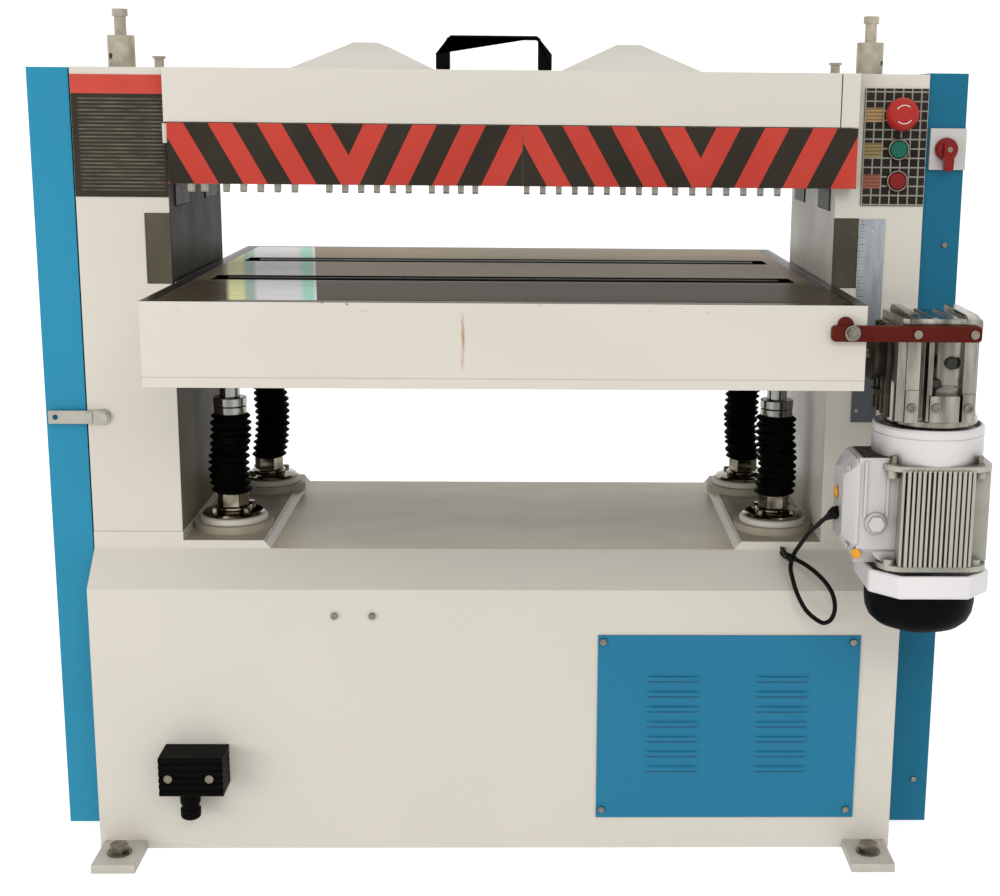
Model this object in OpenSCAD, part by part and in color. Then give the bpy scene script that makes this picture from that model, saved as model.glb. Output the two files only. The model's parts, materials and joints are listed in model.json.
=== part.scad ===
// Wide thickness planer: a cast table that rises on four screws between two columns,
// under a cutterhead that spans the opening.
// Millimetres. X runs across the machine, Y towards the outfeed side, Z up from the floor.
// The origin is on the floor, midway between the columns' inner faces and their front and back.

/* [Base and columns] */
// Clear width between the columns
opening_w = 1010; // [800:10:1200]
// Width of the left column
column_left_w = 140; // [120:5:180]
// Width of the right column
column_right_w = 135; // [120:5:180]
// Depth of the columns, front to back
column_d = 410; // [380:10:480]
// Height of the top of the machine above the floor
machine_h = 1225; // [1180:5:1300]
// Height of the floor of the tray between the columns
tray_h = 485; // [470:1:500]
// Step up from the tray to the ledges that carry the screws
ledge_step = 13; // [8:1:16]
// Step up from the ledges to the feet of the columns
plinth_step = 14; // [8:1:20]
// Half width of the tray
tray_half_w = 368; // [340:1:380]
// How far the base stands in front of the columns and behind them
toe_d = 56; // [40:1:80]
// Height where the front of the base starts to slope back
crease_h = 434; // [400:1:450]
// How far the base is narrower than the right column
base_tuck = 14; // [5:1:20]
// Thickness of the base's sheet
base_wall = 5; // [4:0.5:8]
// Thickness of the columns' walls
column_wall = 8; // [6:0.5:10]
// Thickness of the columns' machined inner wall
slide_wall = 14; // [12:1:18]

/* [Table] */
// Height of the table's surface at rest
table_h = 908; // [890:1:915]
// Depth of the table's rim
table_t = 121; // [110:1:125]
// Thickness of the ground plate
plate_t = 16; // [14:1:18]
// How far the table stands out in front of the columns
table_front = 255; // [230:5:280]
// How far the table stands out behind the columns
table_back = 220; // [180:5:240]
// Gap between the table and each column
table_gap = 6; // [5:0.5:8]
// Width of the rim round the ground plate
rim_w = 22; // [18:1:26]
// Width that the front of the table adds on the right
nose_extra = 10; // [4:1:12]
// Distance of the bed rollers in front of and behind the middle
bed_roller_y = 150; // [140:1:160]
// Radius of the bed rollers
bed_roller_r = 38; // [36:0.5:40]
// Half length of the bed rollers
bed_roller_half = 430; // [400:5:432]
// Room between the bed rollers and their slots
slot_clear = 1.5; // [1:0.1:2]
// How far the bed rollers stand above the table
bed_roller_rise = 1; // [0.3:0.1:2]

/* [Lift] */
// Distance of the front lift screws from the middle, across
screw_front_x = 442; // [430:1:445]
// Distance of the rear lift screws from the middle, across
screw_rear_x = 427; // [415:1:440]
// Front lift screws
screw_front_y = -110; // [-120:1:-100]
// Rear lift screws
screw_rear_y = 160; // [150:1:175]
// Radius of the lift screws
screw_r = 16; // [14:0.5:18]
// How far the screws reach below the table
screw_drop = 480; // [470:1:490]
// Radius of the bearing flanges on the ledges
flange_r = 55; // [50:1:60]
// Radius of the bellows
bellows_r = 34; // [30:1:38]
// Length of screw that shows above the front bellows
screw_show = 75; // [60:1:90]
// Height of one fold of a bellows at rest
bellows_pitch = 11.5; // [8:0.5:16]

/* [Cutting head] */
// Radius of the cutting circle
cutter_r = 62.5; // [55:0.5:65]
// Height of the machine's top above the lowest point of the cutting circle
head_h = 173; // [170:1:175]
// Radius of the feed rollers
feed_r = 45; // [40:0.5:46]
// Distance of the feed rollers in front of and behind the cutterhead
feed_y = 115; // [114:1:125]
// How far the feed rollers hang below the cutting circle
feed_drop = 2; // [1:0.5:3]
// Radius of the journals of the cutterhead
journal_r = 22; // [18:0.5:25]
// Radius of the journals of the feed rollers
feed_journal_r = 16; // [12:0.5:18]
// Radial clearance of a shaft in its bearing
running = 0.05; // [0.02:0.01:0.08]

/* [Hood and guards] */
// How far the hood and the guards stand in front of the columns
hood_reach = 30; // [26:1:45]
// Height of the hood's front panel
hood_front_h = 79; // [70:1:85]
// Thickness of the hood's sheet
hood_t = 4; // [3:0.5:5]
// Height of the striped guards
guard_h = 89; // [80:1:92]
// Thickness of the striped guards
guard_t = 3; // [2:0.5:4]
// Width of the dust chutes at their foot
chute_w = 224; // [200:2:260]
// Height of the dust chutes above the hood
chute_rise = 44; // [40:1:60]
// Radius of the dust ports
port_r = 50; // [40:1:55]
// Length of the dust ports
port_len = 60; // [40:1:80]
// Distance of the dust chutes from their middle
chute_x = 207; // [180:1:240]
// Width of the handle
handle_w = 174; // [140:1:200]
// Height of the handle
handle_rise = 51; // [45:1:60]

/* [Kickback fingers] */
// Width of a finger
finger_w = 8.8; // [6:0.2:12]
// Radius of the finger shaft
finger_shaft_r = 8; // [6:0.5:10]
// How far the tips of the kickback fingers hang below the cutting circle
finger_drop = 10; // [6:1:12]

/* [Covers] */
// Depth of the left belt door, sideways
door_w = 62; // [58:1:70]
// Width of the right chain cover, sideways
right_cover_w = 60; // [56:1:66]
// Thickness of the covers' sheet
cover_t = 2.5; // [1.5:0.5:3]
// Height of the bottom edge of the covers
cover_low = 18; // [12:1:30]
// How far the covers stand back from the front of the columns
cover_inset = 5; // [2:1:8]

/* [Gearmotor] */
// Distance of the gearmotor's axis from the middle, across
gear_x = 624; // [618:1:632]
// Radius of the gearmotor's bell
bell_r = 83; // [70:1:85]
// Width of the gearbox
gearbox_w = 150; // [130:1:152]
// Depth of the gearbox
gearbox_d = 145; // [120:1:150]
// Height of the gearbox
gearbox_h = 160; // [140:1:165]

/* [Hidden] */
$fn = 48;

// Places shared by several pieces
open_x = opening_w / 2;
left_x = -open_x - column_left_w;
right_x = open_x + column_right_w;
front_y = -column_d / 2;
back_y = column_d / 2;
base_right_x = right_x - base_tuck;
toe_y = front_y - toe_d;
heel_y = back_y + toe_d;
cut_h = machine_h - head_h;
finger_tip_h = cut_h - finger_drop;
ledge_h = tray_h + ledge_step;
plinth_h = ledge_h + plinth_step;
rail_w = 11;
gap = 0.3;
press_clear = 0.1;

table_low = table_h - table_t;
nose_y = front_y - table_front;
tail_y = back_y + table_back;
table_half = open_x - table_gap;
nose_step = 3;
plate_low = table_h - plate_t;
bed_z = table_h + bed_roller_rise - bed_roller_r;
bed_journal_r = 10;
slot_half = table_half - rim_w - 23;
bed_block_x = slot_half - 2;
bed_block_t = 9;
saddle_t = 18;
saddle_x = 397;
saddle_w = 90;
shoe_half = 30;

cutter_z = cut_h + cutter_r;
feed_z = cut_h - feed_drop + feed_r;
finger_y = front_y + 17;
finger_z = finger_tip_h + 50;
guard_low = cut_h + 4;
guard_top = guard_low + guard_h;
hood_low = machine_h - hood_front_h;
hood_front_y = front_y - hood_reach;
hood_half = open_x - 3;
hinge_y = back_y + 3;
hinge_z = hood_low + 10;
hinge_r = 6;
pin_r = 4;
over_cutter = 2.5;
hood_side_low = cutter_z + cutter_r + over_cutter;
hood_hinge_xs = [-420, 359];
chute_mid_x = -12;
port_z = machine_h - 13;

front_screws = [[-screw_front_x, screw_front_y], [screw_front_x, screw_front_y]];
rear_screws = [[-screw_rear_x, screw_rear_y], [screw_rear_x, screw_rear_y]];
screws = concat(front_screws, rear_screws);
flange_low = ledge_h + 12;
flange_t = 14;
neck_h = 24;
neck_top = flange_low + flange_t + neck_h;
collar_h = 14;
collar_low = table_low - screw_show - collar_h;
bellows_h = collar_low - neck_top;
nut_r = 24;
nut_low = tray_h - 33;
nut_top = flange_low + 5;
sprocket_t = 7;
lift_wheel_r = 40;
lift_wheel_z = nut_low + 6;
lift_motor_y = screw_front_y - 55;

door_x = left_x - 3;
cover_top = machine_h - 1;
cover_front_y = front_y + cover_inset;
cover_back_y = back_y - cover_inset;
door_pin_x = door_x - 4;
door_pin_y = back_y + 2;
door_hinge_zs = [150, machine_h - 175];
door_hinge_h = 40;
lug_half = 4.4;
right_cover_x = right_x;

cutter_pulley_r = 50;
motor_pulley_r = 85;
belt_x = door_x - 4;
belt_w = 44;
main_motor_z = 250;
feed_motor_z = 300;
chain_x = right_x + 14;
chain_w = 8;

gear_y = nose_y + 75;
gearbox_low = table_low - 57;
gearbox_front_y = nose_y;
output_z = table_low + 42;
bed_chain_x = table_half - rim_w - 13;
bed_wheel_r = 16;

latch_x = left_x + 25;
latch_z = 696;
latch_r = 13;

// Route of the gearmotor's cable: down from its gland, over the clip, once round and in
cable_r = 3.5;
cable_points = [
    [484, -395, 592], [476, -380, 581], [470, -352, 563], [466, -330, 550],
    [461, -305, 530], [458, -282, 513], [454, -264, 496], [450, -262, 481],
    [449, -266, 469], [452, -272, 455], [456, -278, 441], [463, -282, 425],
    [473, -286, 409], [488, -288, 396], [500, -290, 391], [511, -290, 397],
    [516, -290, 414], [513, -288, 434], [503, -284, 452], [488, -276, 467],
    [474, -264, 476], [463, -246, 479], [455, -229, 479]];
cable_end = cable_points[len(cable_points) - 1];

// ---------------------------------------------------------------- helpers

// A block from its lowest corner to its highest
module block(low, high) {
    translate(low) cube(high - low);
}

// A round bar along X from x0 to x1
module bar_x(r, x0, x1, y, z) {
    translate([x0, y, z]) rotate([0, 90, 0]) cylinder(r = r, h = x1 - x0);
}

// A round bar along Y from y0 to y1
module bar_y(r, y0, y1, x, z) {
    translate([x, y1, z]) rotate([90, 0, 0]) cylinder(r = r, h = y1 - y0);
}

// A round bar along Z from z0 to z1
module bar_z(r, z0, z1, x, y) {
    translate([x, y, z0]) cylinder(r = r, h = z1 - z0);
}

// A section drawn in Y and Z, carried along X
module along_x(x0, x1, points) {
    translate([x0, 0, 0]) rotate([90, 0, 90]) linear_extrude(x1 - x0) polygon(points);
}

// A section drawn in X and Z, carried along Y
module along_y(y0, y1, points) {
    translate([0, y1, 0]) rotate([90, 0, 0]) linear_extrude(y1 - y0) polygon(points);
}

function turn_to(a, b) = ((b - a) % 360 + 360) % 360;

// Heading of the straight run from each wheel [x, y, r] to the next, anticlockwise
function headings(w) = [
    for (i = [0:len(w) - 1])
        let (j = (i + 1) % len(w), dx = w[j][0] - w[i][0], dy = w[j][1] - w[i][1])
            atan2(dy, dx) + asin((w[i][2] - w[j][2]) / norm([dx, dy]))];

// Outline of a band that runs round the wheels, a given gap outside them
function band_outline(w, out) =
    let (h = headings(w), n = len(w))
    [for (i = [0:n - 1])
        let (start = h[(i + n - 1) % n] - 90,
            sweep = turn_to(h[(i + n - 1) % n], h[i]),
            steps = max(1, ceil(sweep / 20)),
            r = (w[i][2] + out) / cos(sweep / steps / 2))
        for (k = [0:steps])
            [w[i][0] + r * cos(start + sweep * k / steps),
                w[i][1] + r * sin(start + sweep * k / steps)]];

// A belt or chain round the wheels, as a band of even thickness
module band(wheels, clear, thick, width) {
    linear_extrude(width) difference() {
        polygon(band_outline(wheels, clear + thick));
        polygon(band_outline(wheels, clear));
    }
}

// A toothed wheel lying flat, its tips at radius r
module sprocket(r, teeth, thick) {
    linear_extrude(thick) polygon([
        for (i = [0:teeth - 1], k = [0, 1, 2, 3])
            let (a = (i + [0, 0.3, 0.5, 0.8][k]) * 360 / teeth,
                d = [r, r, r - 4, r - 4][k])
                [d * cos(a), d * sin(a)]]);
}

// A hexagon bolt head with its flat face down
module hex_head(af, h) {
    cylinder(d = af / cos(30), h = h, $fn = 6);
}

function direction(a, b) = (b - a) / norm(b - a);

// Stands its children at a point with their own Z along a direction
module point_along(place, dir) {
    translate(place) rotate([0, acos(dir[2]), atan2(dir[1], dir[0])]) children();
}

// ---------------------------------------------------------------- base

// Outer form of the base, taken in by an even amount
module base_form(inset) {
    intersection() {
        along_y(toe_y + inset, heel_y - inset, [
            [left_x + inset, inset], [left_x + inset, plinth_h - inset],
            [-open_x - inset, plinth_h - inset], [-open_x - inset, ledge_h - inset],
            [-tray_half_w - rail_w, ledge_h - inset], [-tray_half_w, tray_h - inset],
            [tray_half_w, tray_h - inset], [tray_half_w + rail_w, ledge_h - inset],
            [open_x + inset, ledge_h - inset], [open_x + inset, plinth_h - inset],
            [base_right_x - inset, plinth_h - inset], [base_right_x - inset, inset]]);
        along_x(left_x, right_x, [
            [toe_y + inset, inset], [toe_y + inset, crease_h],
            [front_y + inset, tray_h], [front_y + inset, plinth_h - inset],
            [heel_y - inset, plinth_h - inset], [heel_y - inset, inset]]);
    }
}

vent_low = [150, 54];
vent_high = [565, 361];

module base_cabinet() {
    color([0.86, 0.83, 0.77]) difference() {
        union() {
            difference() {
                base_form(0);
                base_form(base_wall);
                // Window behind the vent panel
                block([vent_low[0] + 25, toe_y - 1, vent_low[1] + 25],
                    [vent_high[0] - 25, toe_y + base_wall + 1, vent_high[1] - 25]);
            }
            // Raised seats under the screw flanges
            for (s = screws) bar_z(flange_r + 9, ledge_h - base_wall, flange_low, s[0], s[1]);
        }
        for (s = screws) bar_z(nut_r + 2, tray_h - 20, flange_low + 1, s[0], s[1]);
        cable_bush(press_clear, 1);
        // Ways out for the shafts of the main motor and the feed motor
        bar_x(25, left_x - 1, left_x + base_wall + 1, 0, main_motor_z);
        bar_x(18, base_right_x - base_wall - 1, base_right_x + 1, 0, feed_motor_z);
    }
}

// Bush that takes the gearmotor's cable into the slope of the base
module cable_bush(clear, extra) {
    dir = direction(cable_points[len(cable_points) - 2], cable_end);
    point_along(cable_end, dir) cylinder(r = cable_r + 2 + clear, h = 28 + extra);
}

foot_left_x = -604;
foot_right_x = 584;
foot_w = 68;
foot_reach = 88;
foot_t = 14;

module each_foot() {
    for (x = [foot_left_x, foot_right_x]) {
        translate([x, toe_y, 0]) children();
        translate([x, heel_y, 0]) mirror([0, 1, 0]) children();
    }
}

module foot_plates() {
    color([0.8, 0.79, 0.74]) each_foot() difference() {
        block([-foot_w / 2, -foot_reach, 0], [foot_w / 2, 0, foot_t]);
        translate([0, -foot_reach / 2, -1]) cylinder(r = 8.5, h = foot_t + 2);
    }
}

module foot_bolts() {
    color([0.72, 0.7, 0.66]) each_foot() translate([0, -foot_reach / 2, 0]) {
        translate([0, 0, 1]) cylinder(r = 8, h = foot_t);
        translate([0, 0, foot_t]) cylinder(r = 19, h = 3);
        translate([0, 0, foot_t + 3]) hex_head(26, 12);
    }
}

module vent_panel() {
    rows = 7;
    row_pitch = 25.2;
    color([0.1, 0.5, 0.72]) difference() {
        block([vent_low[0], toe_y - 3, vent_low[1]], [vent_high[0], toe_y, vent_high[1]]);
        for (side = [0, 1], row = [0:rows - 1])
            translate([vent_low[0] + 78 + side * 173, toe_y - 4, vent_low[1] + 81 + row * row_pitch])
                cube([84, 5, 5]);
    }
}

// Dome-headed screws of the vent panel, the base and the right cover
module panel_screws() {
    color([0.75, 0.75, 0.73]) {
        for (x = [vent_low[0] + 8, vent_high[0] - 12], z = [vent_low[1] + 14, vent_high[1] - 10])
            bar_y(5.5, toe_y - 7, toe_y - 3, x, z);
        for (x = [-263, -204]) bar_y(5.5, toe_y - 5, toe_y, x, crease_h - 42);
        for (z = [machine_h - 255, 92])
            bar_y(4.5, cover_front_y - 3, cover_front_y, right_cover_x + 37, z);
    }
}

inlet_x = -484;
inlet_low = 115;
inlet_w = 100;
inlet_h = 64;
inlet_d = 60;
stub_x = inlet_x - 8;
stub_y = toe_y - 30;
stub_low = inlet_low - 48;

module mains_inlet() {
    color([0.05, 0.05, 0.05]) difference() {
        union() {
            block([inlet_x - inlet_w / 2, toe_y - inlet_d, inlet_low],
                [inlet_x + inlet_w / 2, toe_y, inlet_low + inlet_h]);
            bar_z(16, stub_low, inlet_low, stub_x, stub_y);
        }
        bar_z(8, stub_low - 1, inlet_low + 8, stub_x, stub_y);
    }
}

// ---------------------------------------------------------------- columns

housing_r = 45;
block_half = 50;
block_low = finger_tip_h - 24;
block_top = feed_z + 48;

// A column's shell, its outer wall pierced at [y, z, radius]
module column(width, outer_holes) {
    outer = open_x + width;
    difference() {
        block([open_x, front_y, plinth_h], [outer, back_y, machine_h]);
        block([open_x + slide_wall, front_y + column_wall, plinth_h - 1],
            [outer - column_wall, back_y - column_wall, machine_h - column_wall]);
        // Recess of the guideway
        block([open_x - 1, front_y - 1, guide_low], [open_x + guide_w, front_y + 4, guide_top]);
        bar_x(housing_r, open_x - 1, open_x + slide_wall + 1, 0, cutter_z);
        for (y = [-feed_y, feed_y])
            block([open_x - 1, y - block_half, block_low],
                [open_x + slide_wall + 1, y + block_half, block_top]);
        for (hole = outer_holes)
            bar_x(hole[2], outer - column_wall - 1, outer + 1, hole[0], hole[1]);
    }
}

guide_w = 38;
guide_low = table_h - 5;
guide_top = guide_low + 107;

module column_left() {
    color([0.86, 0.83, 0.77]) mirror([1, 0, 0])
        column(column_left_w, [[0, cutter_z, journal_r + 8]]);
}

module column_right() {
    color([0.86, 0.83, 0.77]) {
        difference() {
            column(column_right_w, [for (y = [-feed_y, feed_y]) [y, feed_z, feed_journal_r + 4]]);
            for (z = button_zs) bar_y(stem_r + 0.5, front_y - 1, front_y + column_wall + 1, control_x, z);
        }
        // Block that closes the end of the hood
        block([hood_half + 1.5, hood_front_y, hood_low], [open_x + 25, front_y, machine_h]);
    }
}

module guideways() {
    color([0.34, 0.3, 0.24]) for (side = [-1, 1]) {
        x0 = side > 0 ? open_x : -open_x - guide_w;
        block([x0, front_y + 2, guide_low], [x0 + guide_w, front_y + 4, guide_top]);
    }
}

plate_sheet = 1.5;

// Bare nameplate on the left column and the thickness scale on the right one
module front_plates() {
    color([0.16, 0.16, 0.14])
        block([left_x + 1, front_y - plate_sheet, machine_h - 191], [-open_x, front_y, machine_h - 11]);
    color([0.5, 0.55, 0.56]) translate([open_x, 0, cut_h]) difference() {
        block([39, front_y - plate_sheet, -359], [78, front_y, -43]);
        for (p = [[60, -61], [47, -341]]) bar_y(3, front_y - 3, front_y + 1, p[0], p[1]);
    }
}

control_x = open_x + 92;
button_zs = [machine_h - 59, machine_h - 111, machine_h - 158];
button_travel = 4;
estop_travel = 6;
stem_r = 10.7;
bezel_r = 16.5;
bezel_front = front_y - 8;
cap_r = 12.5;

isolator_x = right_x + 29;
isolator_z = machine_h - 110;
isolator_front = cover_front_y - 8;

// Button panel of the right column, and the plate of the isolator on the right cover
module switch_plates() {
    color([0.14, 0.16, 0.14]) difference() {
        union() {
            block([open_x + 38, front_y - 2, machine_h - 196], [right_x - 1, front_y, machine_h - 21]);
            for (z = button_zs) bar_y(bezel_r, bezel_front, front_y - 2, control_x, z);
        }
        for (z = button_zs) {
            bar_y(cap_r + 0.5, bezel_front - 1, front_y - 2, control_x, z);
            bar_y(stem_r + 0.5, bezel_front - 1, front_y + 1, control_x, z);
        }
    }
    color([0.78, 0.78, 0.74]) difference() {
        block([right_x + 5, isolator_front, isolator_z - 31],
            [right_x + 60, cover_front_y, isolator_z + 31]);
        bar_y(6 + running, isolator_front - 1, cover_front_y - 2, isolator_x, isolator_z);
    }
}

// Spring caps and bolts that load the feed rollers
module pressure_adjusters() {
    color([0.66, 0.65, 0.62]) {
        for (p = [[-open_x - 78, -40], [open_x + 57, 55]]) translate([p[0], -135, machine_h]) {
            difference() {
                cylinder(r = 20.5, h = 48);
                rotate([90, 0, p[1]]) translate([0, 17, 10]) cylinder(r = 4.5, h = 30);
            }
            translate([0, 0, 48]) cylinder(r = 9, h = 28);
            translate([0, 0, 76]) hex_head(21, 11);
        }
        for (x = [-open_x - 72, open_x + 46]) translate([x, 90, machine_h]) {
            cylinder(r = 8, h = 20);
            translate([0, 0, 20]) cylinder(r = 11, h = 4);
        }
    }
}

// Bearing housings of the cutterhead, and the cast blocks that carry the feed rollers
module bearing_housings() {
    thick = 42;
    color([0.3, 0.27, 0.23]) for (side = [-1, 1]) {
        block_x = side > 0 ? open_x - 2 : -open_x + 2 - thick;
        difference() {
            translate([side * open_x, 0, cutter_z]) rotate([0, side * 90, 0])
                cylinder(r = housing_r, h = 52);
            bar_x(journal_r + running, -right_x, right_x, 0, cutter_z);
        }
        for (y = [-feed_y, feed_y]) difference() {
            block([block_x, y - block_half + gap, block_low],
                [block_x + thick, y + block_half - gap, block_top - gap]);
            bar_x(feed_journal_r + running, -right_x, right_x, y, feed_z);
        }
    }
}

module rear_beam() {
    color([0.86, 0.83, 0.77]) {
        block([-open_x, back_y - 25, cut_h + 12], [open_x, back_y, hood_low]);
        // Upstand that closes the back inside the hood
        block([-open_x, back_y - 25, hood_low - 1], [open_x, back_y - 13, hood_side_low - 4]);
        // Lower half of each hood hinge, with its pin
        for (x = hood_hinge_xs) {
            bar_x(hinge_r, x, x + 30, hinge_y, hinge_z);
            block([x, back_y - 12, hood_low - 10], [x + 30, hinge_y, hinge_z - 2]);
            bar_x(pin_r, x, x + 62, hinge_y, hinge_z);
        }
    }
}

// ---------------------------------------------------------------- hood and guards

module hood_shell() {
    rear_y = back_y - 4;
    color([0.86, 0.83, 0.77]) {
        difference() {
            block([-hood_half, hood_front_y, hood_low], [hood_half, rear_y, machine_h]);
            block([-hood_half + hood_t, hood_front_y + hood_t, hood_low - 1],
                [hood_half - hood_t, rear_y - hood_t, machine_h - hood_t]);
            // The sides and the back stop above the cutterhead
            block([-hood_half - 1, front_y + 2, hood_low - 1], [hood_half + 1, rear_y + 1, hood_side_low]);
            for (x = chute_xs) {
                block([x - 90, -40, machine_h - hood_t - 1], [x + 90, 120, machine_h + 1]);
                bar_y(port_r, rear_y - hood_t - 1, rear_y + 1, x, port_z);
            }
        }
        for (x = hood_hinge_xs) difference() {
            union() {
                bar_x(hinge_r, x + 31, x + 61, hinge_y, hinge_z);
                block([x + 31, rear_y - 2, hinge_z + 3], [x + 61, hinge_y + 3, hood_side_low + 8]);
            }
            bar_x(pin_r + running, x, x + 62, hinge_y, hinge_z);
        }
    }
}

chute_xs = [chute_mid_x - chute_x, chute_mid_x + chute_x];

module hood_handle() {
    bar = 6;
    leg = 21;
    half = handle_w / 2;
    translate([-15, -180, machine_h]) color([0.05, 0.045, 0.04]) along_y(-11, 11, [
        [-half, 0], [-half, handle_rise * 0.48], [-half + leg, handle_rise - 1],
        [-half + leg + 2, handle_rise], [half - leg - 2, handle_rise],
        [half - leg, handle_rise - 1], [half, handle_rise * 0.48], [half, 0],
        [half - leg, 0], [half - leg, handle_rise - bar], [-half + leg, handle_rise - bar],
        [-half + leg, 0]]);
}

// Low hipped chutes over the cutterhead, each with a round port at the back
module dust_chutes() {
    foot = chute_w / 2;
    crest = 19;
    rear_y = back_y + 2;
    color([0.88, 0.86, 0.82]) for (x = chute_xs) translate([x, 0, 0]) difference() {
        union() {
            intersection() {
                along_y(-150, rear_y, [[-foot, machine_h], [-crest, machine_h + chute_rise],
                    [crest, machine_h + chute_rise], [foot, machine_h]]);
                along_x(-foot, foot, [[-150, machine_h], [-60, machine_h + chute_rise],
                    [rear_y, machine_h + chute_rise], [rear_y, machine_h]]);
            }
            block([-60, back_y - 4, port_z - port_r - 3], [60, rear_y, machine_h + 1]);
            bar_y(port_r, rear_y - 1, rear_y + port_len, 0, port_z);
        }
        bar_y(port_r - 3, back_y - 30, rear_y + port_len + 1, 0, port_z);
        intersection() {
            along_y(-144, back_y - 29, [[-foot + 12, machine_h - 1], [-crest, machine_h + chute_rise - 4],
                [crest, machine_h + chute_rise - 4], [foot - 12, machine_h - 1]]);
            along_x(-foot, foot, [[-140, machine_h - 1], [-60, machine_h + chute_rise - 4],
                [back_y - 29, machine_h + chute_rise - 4], [back_y - 29, machine_h - 1]]);
        }
    }
}

// Two striped guard plates on a rail that the columns carry
module striped_guards() {
    joint_x = 29;
    left = -open_x + 8;
    right = open_x + 24;
    color([0.75, 0.2, 0.16]) {
        block([left, hood_front_y - guard_t, guard_low], [joint_x - gap, hood_front_y, guard_top]);
        block([joint_x + gap, hood_front_y - guard_t, guard_low], [right, hood_front_y, guard_top]);
        block([left, hood_front_y, guard_top - 14], [right, hood_front_y + 4, guard_top - 1]);
        block([right - 20, hood_front_y, guard_low], [right, front_y, guard_top - 1]);
        block([-open_x, hood_front_y + 4, guard_top - 30], [left + 20, front_y + 20, guard_top - 1]);
    }
}

// Fingers hang in groups, each from its first place to its last
finger_groups = [[-472, -452, 2], [-419, -316, 5], [-264, -144, 6], [-109, -43, 4],
    [35, 230, 9], [261, 417, 7]];
finger_xs = [for (g = finger_groups, i = [0:g[2] - 1]) g[0] + i * (g[1] - g[0]) / (g[2] - 1)];

module finger_shaft() {
    color([0.45, 0.45, 0.43])
        bar_x(finger_shaft_r, -open_x, open_x, finger_y, finger_z);
}

module kickback_fingers() {
    ring = finger_shaft_r + 6;
    color([0.7, 0.69, 0.62]) for (x = finger_xs) difference() {
        union() {
            bar_x(ring, x - finger_w / 2, x + finger_w / 2, finger_y, finger_z);
            along_x(x - finger_w / 2, x + finger_w / 2, [
                [finger_y - ring + 2, finger_z], [finger_y - 16, finger_tip_h + 3],
                [finger_y - 13, finger_tip_h], [finger_y - 5, finger_tip_h],
                [finger_y + ring - 4, finger_z]]);
        }
        bar_x(finger_shaft_r + running, x - finger_w, x + finger_w, finger_y, finger_z);
    }
}

// ---------------------------------------------------------------- cutting head

module cutterhead() {
    drum = open_x - 11;
    slot = 11;
    color([0.62, 0.62, 0.6]) difference() {
        union() {
            bar_x(cutter_r - 1, -drum, drum, 0, cutter_z);
            bar_x(journal_r, belt_x - belt_w, open_x + 70, 0, cutter_z);
            // Pulley with two rims
            bar_x(cutter_pulley_r, belt_x - belt_w, belt_x, 0, cutter_z);
            for (x = [belt_x - belt_w - 3, belt_x]) bar_x(cutter_pulley_r + 9, x, x + 3, 0, cutter_z);
            // Four knives
            for (a = [0:90:270]) translate([-drum + 4, 0, cutter_z]) rotate([a, 0, 0])
                translate([0, -2, 40]) cube([2 * drum - 8, 3, cutter_r - 40]);
        }
        // Chip gullets in front of the knives
        for (a = [0:90:270]) translate([-drum + 4, 0, cutter_z]) rotate([a, 0, 0])
            translate([0, 1, cutter_r - 12]) cube([2 * drum - 8, slot, 14]);
    }
}

module feed_roller(y) {
    drum = open_x - 10;
    bar_x(feed_r, -drum, drum, y, feed_z);
    bar_x(feed_journal_r, -open_x - 38, chain_x + chain_w + 4, y, feed_z);
    translate([chain_x, y, feed_z]) rotate([90, 0, 90]) sprocket(feed_wheel_r, 16, chain_w);
}

module infeed_roller() {
    color([0.5, 0.5, 0.48]) feed_roller(-feed_y);
}

module outfeed_roller() {
    color([0.68, 0.68, 0.66]) feed_roller(feed_y);
}

// The sprung chip breaker in front of the knives, and the pressure bar behind them
module pressure_bars() {
    half = open_x - 8;
    low = cut_h - 1;
    high = cut_h + 98;
    color([0.42, 0.42, 0.4]) for (side = [-1, 1]) {
        along_x(-half, half, [
            [side * 72, low + 10], [side * 70, low], [side * 56, low], [side * 53, low + 8],
            [side * 59.5, low + 13], [side * 69.5, high], [side * 72.5, high],
            [side * 62.5, low + 15]]);
        bar_x(7, -open_x, open_x, side * 76, high + 3);
    }
}

// ---------------------------------------------------------------- drives

belt_wheels = [[0, main_motor_z, motor_pulley_r], [0, cutter_z, cutter_pulley_r]];
feed_wheel_r = 34;
feed_wheels = [[0, feed_motor_z, feed_wheel_r], [feed_y, feed_z, feed_wheel_r],
    [-feed_y, feed_z, feed_wheel_r]];
lift_wheels = [for (p = [[0, lift_motor_y], screws[1], screws[3], screws[2], screws[0]])
    [p[0], p[1], lift_wheel_r]];
drive_y = gear_y;
bed_wheels = [[drive_y, output_z, bed_wheel_r], [bed_roller_y, bed_z, bed_wheel_r],
    [-bed_roller_y, bed_z, bed_wheel_r]];

module drive_belts() {
    color([0.07, 0.07, 0.07]) for (i = [0:2])
        translate([belt_x - belt_w + 2 + i * 14, 0, 0]) rotate([90, 0, 90])
            band(belt_wheels, 0.5, 8, 12);
}

module feed_chain() {
    color([0.35, 0.33, 0.3]) translate([chain_x, 0, 0]) rotate([90, 0, 90])
        band(feed_wheels, 0.5, 7, chain_w);
}

module lift_chain() {
    color([0.35, 0.33, 0.3]) translate([0, 0, lift_wheel_z]) band(lift_wheels, 0.5, 7, sprocket_t);
}

module bed_chain() {
    color([0.35, 0.33, 0.3]) translate([bed_chain_x, 0, 0]) rotate([90, 0, 90])
        band(bed_wheels, 0.5, 3.5, 6);
}

// A foot-mounted motor lying along X
module lying_motor(x0, x1, r, y, z) {
    bar_x(r, x0, x1, y, z);
    block([x0 + 30, y - r + 10, base_wall], [x1 - 40, y + r - 10, z - r / 2]);
}

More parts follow.
